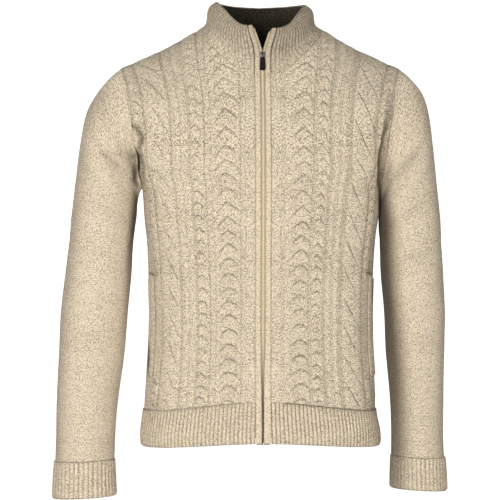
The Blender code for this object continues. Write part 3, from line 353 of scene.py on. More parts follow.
SLEEVE_FOLDS = (
    (-1, 2.0, 24.0, ((192, -246), (191, -280), (191, -330))),
    (1, 2.0, 24.0, ((192, -246), (191, -280), (191, -330))),
    *ARMHOLE_FOLDS,
    (-1, -3.0, 6.0, ((-246, -190), (-224, -196), (-204, -208))),
    (-1, -3.5, 6.0, ((-258, -186), (-236, -206), (-212, -226))),
    (-1, 3.0, 9.0, ((-262, -210), (-238, -232), (-212, -262))),
    (-1, -1.2, 8.0, ((-285, -235), (-250, -270), (-212, -292))),
    (-1, -1.2, 12.0, ((-296, -330), (-262, -352), (-220, -350))),
    (-1, 1.2, 12.0, ((-300, -362), (-262, -384), (-222, -386))),
    (-1, -1.8, 12.0, ((-305, -470), (-270, -488), (-228, -480))),
    (-1, 1.6, 13.0, ((-312, -560), (-275, -575), (-236, -566))),
    (-1, -3.5, 7.0, ((252, -186), (228, -210), (204, -236))),
    (-1, 2.8, 9.0, ((256, -214), (230, -240), (204, -272))),
    (-1, -2.0, 9.0, ((272, -250), (240, -282), (204, -300))),
    (-1, -2.2, 12.0, ((282, -340), (246, -360), (206, -356))),
    (-1, 2.0, 12.0, ((284, -380), (246, -398), (206, -394))),
    (-1, -1.8, 12.0, ((286, -480), (250, -496), (212, -488))),
    (1, -5.0, 10.0, ((-300, -330), (-260, -360), (-214, -352))),
    (1, 4.0, 11.0, ((-296, -300), (-256, -322), (-212, -318))),
    (1, -3.5, 10.0, ((-272, -170), (-240, -220), (-210, -262))),
    (1, -5.0, 10.0, ((288, -330), (246, -362), (206, -354))),
    (1, 4.0, 11.0, ((284, -300), (244, -322), (204, -318))),
    (1, -3.5, 10.0, ((266, -170), (236, -220), (206, -262))),
    (1, -3.0, 12.0, ((-314, -500), (-276, -520), (-232, -512))),
    (1, -3.0, 12.0, ((288, -520), (250, -540), (214, -530))),
)
# painted shadows: soft dark places where sleeve and body press together, along the pocket openings and
# below a bulge of the collar: face, strength, reach toward and away from the middle, line of x, z
SHADOWS = (
    (-1, 0.95, (6.5, 6.5), ((-211, -199), (-199, -202), (-186, -203))),
    (-1, 1.05, (4.5, 4.5), ((-201, -202), (-200, -222), (-201, -237), (-193, -254))),
    (-1, 0.45, (4.0, 4.0), ((-192, -150), (-186, -176), (-196, -198))),
    (-1, 0.45, (4.0, 4.0), ((-256, -192), (-236, -206), (-210, -226))),
    (-1, 0.30, (10.0, 10.0), ((-232, -182), (-218, -192), (-206, -206))),
    (-1, 1.05, (2.5, 13.0), ((198, -105), (187, -170), (185, -222), (185, -266), (190, -326))),
    (-1, 1.10, (1.9, 2.6), ((-175, -490), (-175, -520), (-177, -548))),
    (-1, 1.00, (1.9, 2.6), ((174, -390), (174, -415), (174, -442))),
    (-1, 0.95, (1.7, 1.7), ((-182, -382), (-173, -385), (-164, -389))),
    (-1, 0.95, (1.7, 1.7), ((164, -382), (171, -384), (180, -386))),
    (-1, 0.42, (9.0, 9.0), ((20, 6), (36, -9), (58, -32))),
    (1, 0.60, (7.0, 7.0), ((-205, -150), (-192, -200), (-190, -252))),
    (1, 0.60, (7.0, 7.0), ((205, -150), (192, -200), (190, -252))),
)
COLLAR_FOLDS = (
    (-1, -2.5, 9.0, ((30, -8), (44, -30), (40, -58))),
    (-1, 2.0, 8.0, ((48, 6), (62, -12), (66, -34))),
    (-1, -1.8, 9.0, ((-34, -2), (-48, -26), (-46, -54))),
    (1, -1.6, 10.0, ((-60, 10), (-20, 4), (30, 12))),
)

# light and camera, in metres, watts and degrees
FLOOR = -1.35
COVE_RADIUS = 9.0
COVE_TOP = 9.0
PAPER_GLOW = 1.0
SKY = 0.20
KEY_POWER = 210.0
FILL_POWER = 60.0
SIDE_POWER = 22.0
BACK_POWER = 32.0
CAMERA_AWAY = 3.6
CAMERA_TURN = 2.0
FRAME_WIDTH = 0.8
AIM_X = -0.0168
AIM_Z = -0.3472
LIT_POINT = (0.0, 0.0, -0.35)
FRONT_LIGHT_SIZE = 2.2
REAR_LIGHT_SIZE = 1.8

# shade painted on the cloth and the zip
CREASE_DARKNESS = 0.90
CREASE_TONE = (0.10, 0.078, 0.052, 1.0)
STITCH_GAP_TONE = (0.16, 0.12, 0.075, 1.0)
ZIP_SHADE_TONE = (0.05, 0.032, 0.016, 1.0)
# how dark the sleeves are where they face the body, and how far round: level, strength, reach
INNER_SHADE = {
    "right": ((-560.0, 0.0, 0.7), (-504.0, 0.0, 0.7), (-426.0, 0.4, 0.7), (-347.0, 0.9, 0.85),
              (-316.0, 1.05, 0.78), (-253.0, 1.05, 0.75), (-200.0, 0.6, 0.8)),
    "left": ((-735.0, 0.7, 1.4), (-693.0, 0.75, 1.45), (-630.0, 0.85, 1.5), (-520.0, 1.0, 1.45),
             (-426.0, 1.05, 1.32), (-310.0, 1.08, 1.3), (-262.0, 1.0, 1.0), (-200.0, 0.7, 0.9)),
}
OUTER_SHADE = 0.32


# ---------------------------------------------------------------- small tools
def curve_through(rows, column, at):
    """A smooth curve through one column of a table, read at the values of its first column."""
    table = np.array(rows, dtype=float)
    order = np.argsort(table[:, 0])
    keys = table[order, 0]
    values = table[order, column]
    slopes = np.gradient(values, keys)
    at = np.clip(np.asarray(at, dtype=float), keys[0], keys[-1])
    left = np.clip(np.searchsorted(keys, at, side="right") - 1, 0, len(keys) - 2)
    span = keys[left + 1] - keys[left]
    t = (at - keys[left]) / span
    return (
        values[left] * (1 + 2 * t) * (1 - t) ** 2
        + slopes[left] * span * t * (1 - t) ** 2
        + values[left + 1] * t * t * (3 - 2 * t)
        + slopes[left + 1] * span * t * t * (t - 1)
    )


def unit(vectors):
    return vectors / np.linalg.norm(vectors, axis=-1, keepdims=True)


def smooth_step(value):
    value = np.clip(value, 0.0, 1.0)
    return value * value * (3 - 2 * value)


def running_length(points):
    """Length along a row of points, from zero at the first."""
    return np.concatenate(([0.0], np.cumsum(np.linalg.norm(np.diff(points, axis=0), axis=1))))


def signed_x(points, sign):
    """Points or directions with each x multiplied by its own sign."""
    return np.concatenate([points[..., :1] * sign[..., None], points[..., 1:]], axis=-1)


def steps_from_edge(rows, columns):
    """How many steps of a grid each of its points lies from the nearest edge."""
    down = np.minimum(np.arange(rows), np.arange(rows)[::-1])[:, None]
    return np.minimum(down, np.minimum(np.arange(columns), np.arange(columns)[::-1])[None, :])


def placed(name, data):
    """A new object of the scene round this mesh, lamp or camera."""
    made = bpy.data.objects.new(name, data)
    bpy.context.scene.collection.objects.link(made)
    return made


# ---------------------------------------------------------------- the body's form
LEVELS = np.linspace(BODY_SECTIONS[0][0], BODY_SECTIONS[-1][0], 141)
TURNS = np.linspace(0.0, 1.0, 161)


def trace_levels():
    """Walk round half of each level section, from centre front to centre back, by even steps."""
    angle = np.linspace(0.0, math.pi, 721)
    power = 2.0 / ROUNDNESS
    reach = np.sin(angle).clip(0.0, 1.0) ** power
    depth = -np.sign(np.cos(angle)) * np.abs(np.cos(angle)) ** power
    xs, ys, girths, side_shares = [], [], [], []
    for z in LEVELS:
        half_width = curve_through(BODY_SECTIONS, 1, z)
        front = curve_through(BODY_SECTIONS, 2, z)
        back = curve_through(BODY_SECTIONS, 3, z)
        x = half_width * reach
        y = depth * np.where(depth < 0, front, back)
        length = np.concatenate(([0.0], np.cumsum(np.hypot(np.diff(x), np.diff(y)))))
        share = length / length[-1]
        xs.append(np.interp(TURNS, share, x))
        ys.append(np.interp(TURNS, share, y))
        girths.append(length[-1])
        side_shares.append(np.interp(SIDE_SEAM_Y, y, share))
    return np.array(xs), np.array(ys), np.array(girths), np.array(side_shares)


SECTION_X, SECTION_Y, HALF_GIRTH, SIDE_SHARE = trace_levels()


def read_section(table, z, turn):
    """Read a traced table between its levels and steps."""
    row = np.interp(z, LEVELS, np.arange(len(LEVELS)))
    column = np.clip(turn, 0.0, 1.0) * (len(TURNS) - 1)
    row0 = np.clip(np.floor(row).astype(int), 0, len(LEVELS) - 2)
    column0 = np.clip(np.floor(column).astype(int), 0, len(TURNS) - 2)
    rt = row - row0
    ct = column - column0
    lower = table[row0, column0] * (1 - ct) + table[row0, column0 + 1] * ct
    upper = table[row0 + 1, column0] * (1 - ct) + table[row0 + 1, column0 + 1] * ct
    return lower * (1 - rt) + upper * rt


def stretch(z, panel):
    """Millimetres round the section for each millimetre across the panel."""
    side = np.interp(z, LEVELS, SIDE_SHARE * HALF_GIRTH)
    whole = np.interp(z, LEVELS, HALF_GIRTH)
    across = side / FRONT_ACROSS if panel == "front" else (whole - side) / BACK_ACROSS
    shoulder = curve_through(SHOULDER_STRETCH, 1, z)
    return across + (shoulder - across) * smooth_step((z - UNDERARM) / 30.0)


def along_ring(across, z, panel):
    """Distance round the level section; beside the zip the cloth isn't stretched."""
    return across * (1.0 + (stretch(z, panel) - 1.0) * smooth_step(np.asarray(across) / 80.0))


def shoulder_rise(x):
    return curve_through(SHOULDER_LINE, 1, np.abs(x)) - CHEST


def turn_length(rise):
    """Length of cloth from the chest line over to the shoulder seam."""
    return math.pi / 2 * np.sqrt((rise**2 + TURN_DEPTH**2) / 2)


def body_point(panel, across, up):
    """A point of the body's outer ground: across from the centre and up along the cloth."""
    across = np.asarray(across, dtype=float)
    up = np.asarray(up, dtype=float)
    x = across
    for _ in range(4):
        rise = shoulder_rise(x)
        bend = np.clip((up - CHEST) / turn_length(rise), 0.0, 1.0) * math.pi / 2
        z = np.where(up > CHEST, CHEST + rise * np.sin(bend), up)
        turn = turn_of(panel, across, z)
        x = read_section(SECTION_X, z, turn)
    y = read_section(SECTION_Y, z, turn) * np.cos(bend)
    return np.stack([x, y, z], axis=-1)


def body_level(x, y, z):
    """Zero on the body's ground surface, positive outside it."""
    half_width = curve_through(BODY_SECTIONS, 1, z)
    depth = np.where(y < 0, curve_through(BODY_SECTIONS, 2, z), curve_through(BODY_SECTIONS, 3, z))
    climb = np.clip((z - CHEST) / shoulder_rise(x), 0.0, 0.999)
    low = (np.abs(x) / half_width) ** ROUNDNESS
    narrow = np.clip(1 - low, 1e-3, 1.0) ** (1 / ROUNDNESS)
    upper = (np.abs(y) / (depth * narrow)) ** 2 + ((z - CHEST) / shoulder_rise(x)) ** 2
    lower = low + (np.abs(y) / depth) ** ROUNDNESS / (1 - climb**2) ** (ROUNDNESS / 2)
    return np.where(z > -120.0, upper, lower)


def body_outward(points):
    """Unit vectors out of the body's surface."""
    x, y, z = points[..., 0], points[..., 1], points[..., 2]
    step = 0.4
    slope = np.stack([
        body_level(x + step, y, z) - body_level(x - step, y, z),
        body_level(x, y + step, z) - body_level(x, y - step, z),
        body_level(x, y, z + step) - body_level(x, y, z - step),
    ], axis=-1)
    return unit(slope)


def up_at(x, z):
    """Length up the cloth of a point that lies at this level in a column at x."""
    rise = shoulder_rise(x)
    bend = np.arcsin(np.clip((z - CHEST) / rise, 0.0, 1.0)) / (math.pi / 2)
    return np.where(z > CHEST, CHEST + bend * turn_length(rise), z)


# ---------------------------------------------------------------- the panels' edges
def across_at(panel, x, z):
    """Distance across the panel of the point at x on this level."""
    shares = np.linspace(0.0, 0.5, 400) if panel == "front" else np.linspace(1.0, 0.5, 400)
    xs = read_section(SECTION_X, np.full(400, z), shares)
    share = np.interp(x, np.maximum.accumulate(xs), shares if panel == "front" else 1.0 - shares)
    tries = np.linspace(0.0, 300.0, 1201)
    length = share * np.interp(z, LEVELS, HALF_GIRTH)
    return np.interp(length, along_ring(tries, z, panel), tries)


def top_edge(panel):
    """The upper edge of a panel, centre to side seam, as rows of across, up."""
    rows = []
    if panel == "front":
        for x, z in FRONT_NECK:
            rows.append((float(across_at(panel, x, z)), float(up_at(x, z))))
    else:
        for share in np.linspace(0.0, 0.9, 5):
            x = share * NECK_POINT_X
            level = curve_through(SHOULDER_LINE, 1, NECK_POINT_X)
            z = level - (BACK_NECK_DROP + level) * math.sqrt(1 - share**2)
            rows.append((float(across_at(panel, x, z)), float(up_at(x, z))))
    for x in (NECK_POINT_X, 125.0, 150.0, 175.0, 200.0, ARMHOLE[0][0] - 0.5):
        z = float(curve_through(SHOULDER_LINE, 1, x))
        rise = float(shoulder_rise(x))
        full = CHEST + float(turn_length(rise)) * 0.9985
        rows.append((float(across_at(panel, x, z)), full))
    for x, z in ARMHOLE[1:]:
        across = max(float(across_at(panel, x, z)), rows[-1][0] + EDGE_STEP)
        rows.append((across, float(up_at(x, z))))
    if panel == "front":
        rows.append((FRONT_ACROSS - 4.0, UNDERARM + 5.0))
        rows.append((FRONT_ACROSS, UNDERARM))
    else:
        rows.append((BACK_ACROSS - 32.0, UNDERARM + 3.0))
        rows.append((BACK_ACROSS - 20.0, UNDERARM - 3.0))
        rows.append((BACK_ACROSS, UNDERARM))
    return rows


def hem_line(turn, at_front, at_side):
    """Level of the hem's seam or edge: highest at centre front, where the zip holds it up."""
    lift = np.clip(1.0 - np.asarray(turn) / 0.42, 0.0, 1.0)
    return at_side + (at_front - at_side) * smooth_step(lift)


def turn_of(panel, across, z):
    """Share of the way round half the body, from centre front."""
    share = along_ring(across, z, panel) / np.interp(z, LEVELS, HALF_GIRTH)
    return share if panel == "front" else 1.0 - share


# ---------------------------------------------------------------- cables
def frac(value):
    return value - np.floor(value)


def cable_relief(side, across, up):
    """Height of the cables over the ground knit in millimetres, and the painted shade of their creases,
    of the lines beside their columns and of the sunken wales.
    """
    height = np.zeros(np.broadcast(across, up).shape)
    hollow = np.zeros_like(height)
    clear = 0.7 + 0.3 * smooth_step((-150.0 - up) / 150.0)
    bend = 1.25 + 0.75 * smooth_step((-300.0 - up) / 120.0)
    for number, (kind, inner, outer, repeat, start) in enumerate(CABLES[side]):
        form = CABLE_FORM[kind]
        peak, reach, _, _ = form[side]
        place = (across - (inner + outer) / 2) / ((outer - inner) / 2)
        if side == "right":
            place = -place
        inside = np.abs(place) < 1
        crown = (1 - np.clip(np.abs(place), 0.0, 1.0) ** form["square"]) ** 0.5
        keep = np.ones_like(height)
        if outer > OUTERMOST_CABLE:
            below_top = smooth_step((POCKET_TOP + 4.0 - up) / 8.0)
            keep = 1.0 - below_top * smooth_step((up - POCKET_END + 4.0) / 8.0)
        if kind == "ribs":
            lobe = 0.5 - 0.5 * np.cos(2 * math.pi * (place + 1))
            twist = 0.12 * np.cos(2 * math.pi * up / 14.0 + 3 * place)
            rise = form["rise"] * (lobe * (1.0 + twist))
            groove = np.zeros_like(height)
        else:
            wander = 1.1 * np.sin(up / 17.0 + number * 2.1) + 0.7 * np.sin(across * 0.8 + up * 0.37)
            phase = (up - start + climb(kind, place, form[side], bend) + wander) / repeat
            count = np.round(phase)
            f = frac(phase)
            jitter = np.abs(np.sin(count * 12.99 + number * 7.31 + len(side)))
            broken = 0.82 + 0.18 * np.sin(across * 1.7 + count * 5.3 + number)
            lobe = 0.45 + 0.55 * f ** 0.75
            edge = np.abs(phase - count) * repeat
            near = smooth_step((reach - np.abs(place - peak)) / 0.3)
            groove = np.exp(-((edge / form["groove"]) ** 2)) * near * (0.65 + 0.35 * jitter) * broken
            lobe = lobe * (1 - 0.6 * np.exp(-((edge / 1.9) ** 2)))
            rise = form["rise"] * lobe * crown
        groove = groove * keep * clear
        height = np.where(inside, rise * keep - groove * 1.2, height)
        # painted shade in the crease between lobes and along the line beside each column
        hollow = np.where(inside, groove, hollow)
        rim = np.exp(-(((np.abs(place) - 1) * (outer - inner) / 2 / 1.3) ** 2)) * keep
        hollow = np.maximum(hollow, rim * form["side_line"])
    for where, dark in WALE_LINES[side]:
        line = np.exp(-(((across - where) / 1.0) ** 2)) * (0.75 + 0.25 * np.sin(up / 9.0 + where))
        height = height - 0.5 * line
        hollow = np.maximum(hollow, dark * line)
    return height, hollow


def climb(kind, place, form, bend):
    """How far a lobe of this cable has dropped, in millimetres, at a place across its column."""
    peak, _, before, after = form
    if kind == "thick_rope":
        return after * place
    return np.where(place < peak, before, after) * np.abs(place - peak) ** bend


# ---------------------------------------------------------------- folds
def near_line(points, outward, face, width, line, grip=0.25):
    """Falls from one on a line drawn face on to zero beyond its width, and tapers at its ends."""
    facing = smooth_step((outward[..., 1] * face + grip) / 0.5)
    near = np.full(points.shape[:-1], 1e9)
    taper = np.zeros_like(near)
    lengths = [math.dist(a, b) for a, b in zip(line, line[1:])]
    whole, gone = sum(lengths), 0.0
    for (ax, az), (bx, bz), length in zip(line, line[1:], lengths):
        t = ((points[..., 0] - ax) * (bx - ax) + (points[..., 2] - az) * (bz - az)) / length**2
        t = np.clip(t, 0.0, 1.0)
        gap = np.hypot(points[..., 0] - ax - t * (bx - ax), points[..., 2] - az - t * (bz - az))
        if isinstance(width, tuple):
            beyond = np.abs(points[..., 0]) > np.abs(ax + t * (bx - ax))
            gap = gap / np.where(beyond, width[1], width[0])
        else:
            gap = gap / width
        along = (gone + t * length) / whole
        taper = np.where(gap < near, np.sin(math.pi * np.clip(along, 0.04, 0.96)) ** 0.6, taper)
        near = np.minimum(near, gap)
        gone += length
    return np.exp(-(near**2)) * taper * facing


def folded(points, outward, folds):
    """Depth of the listed folds at each point, and how shaded it is, by its place seen face on."""
    depth = np.zeros(points.shape[:-1])
    shade = np.zeros_like(depth)
    for face, rise, width, line in folds:
        form = near_line(points, outward, face, width, line)
        depth += rise * form
        if rise < 0:
            shade = np.maximum(shade, form * min(1.0, -rise / 6.0) ** 2)
    for face, strength, width, line in SHADOWS:
        shade = np.maximum(shade, strength * near_line(points, outward, face, width, line, 0.6))
    return depth, shade


# ---------------------------------------------------------------- meshes
class Cloth:
    """A closed cloth wall: a dense outer skin, a coarser inner one, and the rims between them."""

    def __init__(self):
        self.points, self.marks, self.hollow, self.faces = [], [], [], []

    def skin(self, grid, marks, hollow, wrap, turned):
        """Add a grid of points with its flat-cloth coordinates; give back the points' numbers."""
        first = len(self.points)
        rows, columns = grid.shape[:2]
        self.points.extend(grid.reshape(-1, 3).tolist())
        self.marks.extend(marks.reshape(-1, 2).tolist())
        self.hollow.extend(hollow.reshape(-1).tolist())
        numbers = first + np.arange(rows * columns).reshape(rows, columns)
        ring = np.concatenate([numbers, numbers[:, :1]], axis=1) if wrap else numbers
        quads = np.stack([ring[:-1, :-1], ring[:-1, 1:], ring[1:, 1:], ring[1:, :-1]], axis=-1)
        quads = quads.reshape(-1, 4)
        self.faces.extend((quads[:, ::-1] if turned else quads).tolist())
        return numbers

    def rim(self, one, two, wrap):
        """Close the wall between two edges of any number of points."""
        one, two = list(one), list(two)
        if wrap:
            one.append(one[0])
            two.append(two[0])
        i = j = 0
        while i < len(one) - 1 or j < len(two) - 1:
            step_one = (i + 1) / (len(one) - 1) if i < len(one) - 1 else 9.0
            step_two = (j + 1) / (len(two) - 1) if j < len(two) - 1 else 9.0
            if step_one <= step_two:
                self.faces.append([one[i], two[j], one[i + 1]])
                i += 1
            else:
                self.faces.append([one[i], two[j], two[j + 1]])
                j += 1

    def wall(self, outer, inner, wrap):
        """outer and inner are (grid, marks, painted shade); rows climb the piece."""
        out = self.skin(*outer, wrap, False)
        back = self.skin(*inner, wrap, True)
        self.rim(out[0], back[0], wrap)
        self.rim(out[-1], back[-1], wrap)
        if not wrap:
            self.rim(out[:, 0], back[:, 0], False)
            self.rim(out[:, -1], back[:, -1], False)

    def finish(self, name, finish, node_name, wrap_width):
        """Make the wall an object with its flat coordinates; a tube's last faces don't fold back."""
        mesh = bpy.data.meshes.new(name)
        mesh.from_pydata((np.array(self.points) * MM).tolist(), [], self.faces)
        shape = bmesh.new()
        shape.from_mesh(mesh)
        bmesh.ops.recalc_face_normals(shape, faces=shape.faces)
        shape.to_mesh(mesh)
        shape.free()
        mesh.shade_smooth()
        corner = np.zeros(len(mesh.loops), int)
        mesh.loops.foreach_get("vertex_index", corner)
        flat = np.array(self.marks)[corner]
        if wrap_width:
            starts = np.zeros(len(mesh.polygons), int)
            totals = np.zeros(len(mesh.polygons), int)
            mesh.polygons.foreach_get("loop_start", starts)
            mesh.polygons.foreach_get("loop_total", totals)
            face = np.repeat(np.arange(len(starts)), totals)
            widest = np.full(len(starts), -1e9)
            np.maximum.at(widest, face, flat[:, 0])
            flat[:, 0] += np.where(widest[face] - flat[:, 0] > wrap_width / 2, wrap_width, 0.0)
        layer = mesh.uv_layers.new(name="cloth")
        layer.data.foreach_set("uv", (flat * MM).astype(np.float32).ravel())
        # each point's painted shade, read by the knit finishes
        mark = mesh.attributes.new("hollow", "FLOAT", "POINT")
        mark.data.foreach_set("value", np.array(self.hollow, np.float32))
        mesh.materials.append(finish)
        piece = placed(name, mesh)
        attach(piece, "cardigan")
        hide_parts(node_name)
        return piece


def cloth_piece(name, finish, outer, inner, flat, hollow, pick, node_name, hidden=0.3, wrap=0.0):
    """One closed wall from its seen skin and its coarser hidden one; wrap is a tube's flat width;
    hidden is the painted shade of the hidden skin.
    """
    cloth = Cloth()
    cloth.wall((outer, flat, hollow), (inner, flat[pick], np.full(inner.shape[:2], hidden)), wrap > 0)
    return cloth.finish(name, finish, node_name, wrap)


def inner_skin(points, outward, lift, pick, depth=WALL):
    """The hidden side of a wall: fewer points, moved with the folds and sunk by its thickness."""
    return (points + outward * lift[..., None])[pick] - outward[pick] * depth


def mirrored(points, side):
    points = np.array(points)
    if side == "right":
        points[..., 0] *= -1
    return points


def coarse(count, step):
    """Every few numbers from 0 to count - 1, the last one always among them."""
    return np.unique(np.append(np.arange(0, count - 1, step), count - 1))


# ---------------------------------------------------------------- fronts and back
def bottom_of(panel, across):
    z = np.full(np.shape(across), HEM_SEAM_SIDE)
    for _ in range(3):
        z = hem_line(turn_of(panel, across, z), HEM_SEAM_FRONT, HEM_SEAM_SIDE)
    return z + GAP / 2


def panel_edges(panel):
    """Top edge from the centre to the shoulder point, and side edge from there down to the hem."""
    rows = np.array(top_edge(panel))
    corner = int(np.argmax(rows[:, 0] > SHOULDER_POINT_ACROSS))
    top = rows[: corner + 1]
    low = float(bottom_of(panel, np.array([rows[-1, 0]]))[0])
    side = np.concatenate([[(rows[-1, 0], low)], rows[corner:][::-1]])
    side[:, 0] = np.minimum(side[:, 0], rows[-1, 0] - GAP)
    return top, side


def walk(rows, shares):
    """Points along a line of rows at shares of its length."""
    steps = np.hypot(*np.diff(rows, axis=0).T)
    run = np.concatenate(([0.0], np.cumsum(steps))) / steps.sum()
    return np.stack([np.interp(shares, run, rows[:, c]) for c in (0, 1)], axis=-1)


def panel_grid(panel, columns, rows):
    """A grid of (across, up) over one half: up from the hem, out from the centre edge."""
    start = PANEL_START if panel == "front" else 0.0
    top, side = panel_edges(panel)
    c = np.linspace(0.0, 1.0, columns)
    v = np.linspace(0.0, 1.0, rows)
    across = start + (side[0, 0] - start) * c
    low = np.stack([across, bottom_of(panel, across)], axis=-1)
    first = float(np.interp(start, top[:, 0], top[:, 1]))
    line = np.concatenate([[(start, first)], top[top[:, 0] > start + 0.01]])
    high = walk(line, c)
    left = np.stack([np.full(rows, start), low[0, 1] + (first - low[0, 1]) * v], axis=-1)
    right = walk(side, v)
    c, v = c[None, :, None], v[:, None, None]
    corners = ((1 - c) * (1 - v) * low[0] + c * (1 - v) * low[-1]
               + (1 - c) * v * high[0] + c * v * high[-1])
    return (1 - c) * left[:, None] + c * right[:, None] + (1 - v) * low[None] + v * high[None] - corners


def dress_front(side):
    grid = panel_grid("front", *FRONT_GRID)
    across, up = grid[..., 0], grid[..., 1]
    ground = body_point("front", across, up)
    out = body_outward(ground)
    height, hollow = cable_relief(side, across, up)
    rows, columns = across.shape
    edge = steps_from_edge(rows, columns)
    fade = smooth_step(edge / 3.0)
    below_seam = (rows - 1 - np.arange(rows))[:, None] * 1.4
    fade = fade * (1.0 - 0.75 * np.exp(-((below_seam / 22.0) ** 2))
                   * smooth_step((across - 85.0) / 20.0))
    points = mirrored(ground, side)
    outward = mirrored(out, side)
    bend, shade = folded(points, outward, BODY_FOLDS)
    sway = 0.5 * np.sin(up / 41.0 + across / 23.0) + 0.4 * np.sin(across / 17.0 - up / 67.0 + len(side))
    outer = points + outward * ((height + sway * 0.5) * fade + bend)[..., None]
    pick = np.ix_(coarse(rows, 5), coarse(columns, 4))
    inner = inner_skin(points, outward, bend, pick)
    flat = np.stack([across, up], axis=-1)
    # painted shade of the cables and folds, and along the panel's edges fading toward the zip
    hollow = np.maximum(hollow, shade)
    seam_shade = np.exp(-(edge / 1.5)) * 0.12 * smooth_step((across - 20.0) / 60.0)
    return cloth_piece("front_" + side + "_knit", CABLE_KNIT, outer, inner, flat,
                       np.maximum(hollow, seam_shade), pick, "front_" + side)


def dress_back():
    grid = panel_grid("back", *BACK_GRID)
    half_across, half_up = grid[..., 0], grid[..., 1]
    across = np.concatenate([-half_across[:, :0:-1], half_across], axis=1)
    up = np.concatenate([half_up[:, :0:-1], half_up], axis=1)
    ground = body_point("back", np.abs(across), up)
    out = body_outward(ground)
    flip = np.where(across < 0, -1.0, 1.0)
    points, outward = signed_x(ground, flip), signed_x(out, flip)
    rows, columns = across.shape
    edge = steps_from_edge(rows, columns)
    fade = smooth_step(edge / 4.0)
    bend, shade = folded(points, outward, BODY_FOLDS)
    sway = 0.9 * np.sin(up / 53.0 + across / 31.0) + 0.7 * np.sin(across / 21.0 - up / 71.0)
    wales = 0.16 * np.cos(2 * math.pi * across / 6.0)
    outer = points + outward * ((sway * 0.8 + wales) * fade + bend)[..., None]
    pick = np.ix_(coarse(rows, 6), coarse(columns, 6))
    inner = inner_skin(points, outward, bend, pick)
    flat = np.stack([across, up], axis=-1)
    # painted shade from the folds and along the panel's edges
    hollow = np.maximum(shade, np.exp(-(edge / 1.5)) * 0.12)
    return cloth_piece("back_knit", KNIT, outer, inner, flat, hollow, pick, "back")


# ---------------------------------------------------------------- ribs
def ribbing(run, pitch, rise):
    """Rounded ribs with narrow valleys along a run of cloth; height, and how deep in a valley, which
    sets the painted shade there.
    """
    f = frac(run / pitch)
    crest = np.abs(np.sin(math.pi * f)) ** 0.7
    return rise * crest, np.clip(1.0 - crest * 1.15, 0.0, 1.0) ** 1.1


def hem_band():
    girth = float(np.interp(HEM_EDGE_SIDE, LEVELS, HALF_GIRTH))
    start = (PANEL_START + 0.1) / girth
    ribs = int(round(2 * girth * (1 - start) / RIB_PITCH))
    shares = np.linspace(start, 2.0 - start, ribs * RIB_STEPS + 1)
    turn = np.where(shares <= 1.0, shares, 2.0 - shares)
    sides = np.where(shares <= 1.0, -1.0, 1.0)
    rows = HEM_ROWS
    v = np.linspace(0.0, 1.0, rows)[:, None]
    top = hem_line(turn, HEM_SEAM_FRONT, HEM_SEAM_SIDE) - GAP / 2
    edge = hem_line(turn, HEM_EDGE_FRONT, HEM_EDGE_SIDE)
    ends = np.minimum(shares - start, 2.0 - start - shares) * girth
    edge = edge + 1.0 * np.clip(1 - ends / 5.0, 0.0, 1.0) ** 2
    level = edge[None] + (top - edge)[None] * v
    turns = np.broadcast_to(turn, level.shape)
    points = body_ring(turns, level)
    out = body_outward(points)
    points, out = signed_x(points, sides), signed_x(out, sides)
    run = (shares - start) * girth
    wander = 0.6 * np.sin(level / 16.0 + run[None] / 90.0)
    bead, valley = ribbing(run[None] + wander, RIB_PITCH, RIB_RISE * 1.5)
    round_off = np.minimum(1.0, np.minimum(v, 1.15 - v) * 9.0) ** 0.5
    bend, shade = folded(points, out, BODY_FOLDS)
    outer = points + out * ((bead + 0.2) * round_off - 0.9 * (1 - round_off) + bend)[..., None]
    pick = np.ix_(coarse(rows, 4), coarse(len(shares), RIB_STEPS))
    inner = points[pick] - out[pick] * WALL + out[pick] * bend[pick][..., None]
    flat = np.stack([np.broadcast_to(run, level.shape), level], axis=-1)
    # painted shade in the rib valleys and from the folds
    hollow = np.maximum(np.broadcast_to(valley, level.shape) * 0.9, shade)
    # painted shade under the band's seam, stronger on the wearer's left, fading toward the zip
    hem_seam_shade = np.where(shares <= 1.0, 0.45, 0.8) * smooth_step((ends - 14.0) / 10.0) + 0.03
    hollow = np.maximum(hollow, np.exp(-((1 - v) * rows / 1.3)) * hem_seam_shade[None])
    return cloth_piece("hem_band_ribs", KNIT, outer, inner, flat, hollow, pick, "hem_band")


def body_ring(turn, z):
    """Points round one half of the body at a share of the way from the centre front."""
    return np.stack([read_section(SECTION_X, z, turn), read_section(SECTION_Y, z, turn), z], axis=-1)


# ---------------------------------------------------------------- collar
def neck_rows():
    """The neck seam on one side, centre front to centre back: angle, x, y, z and outward."""
    rows = []
    for panel, last in (("front", len(FRONT_NECK)), ("back", 5)):
        line = walk(np.array(top_edge(panel)[: last + 1]), np.linspace(0.0, 1.0, 70))
        points = body_point(panel, line[:, 0], line[:, 1])
        angle = np.degrees(np.arctan2(points[:, 0], -points[:, 1]))
        part = np.concatenate([angle[:, None], points, body_outward(points)], axis=1)
        rows.append(part if panel == "front" else part[::-1])
    return np.concatenate(rows)


def collar_point(side, angle, rise):
    """A point of the collar's outer ground, by angle round the neck and share of its height."""
    angle, rise = np.broadcast_arrays(np.asarray(angle, float), np.asarray(rise, float))
    base = [np.interp(angle, NECK[:, 0], NECK[:, c]) for c in (1, 2, 3)]
    rim = [curve_through(COLLAR_RIM[side], c, angle) for c in (1, 2, 3)]
    inward = curve_through(COLLAR_PROFILE, 1, rise)
    x = base[0] + (rim[0] - base[0]) * inward
    y = base[1] + (rim[1] - base[1]) * inward
    z = base[2] + (rim[2] - base[2]) * rise
    return np.stack([x + opening(x, y, z), y, z], axis=-1)


def opening(x, y, z):
    """How far the unzipped top of the front stands away from the centre line."""
    spread = smooth_step((z - SLIDER_Z + 2.0) / 50.0)
    return V_OPENING * spread * np.exp(-((x / 34.0) ** 2)) * (y < 0)


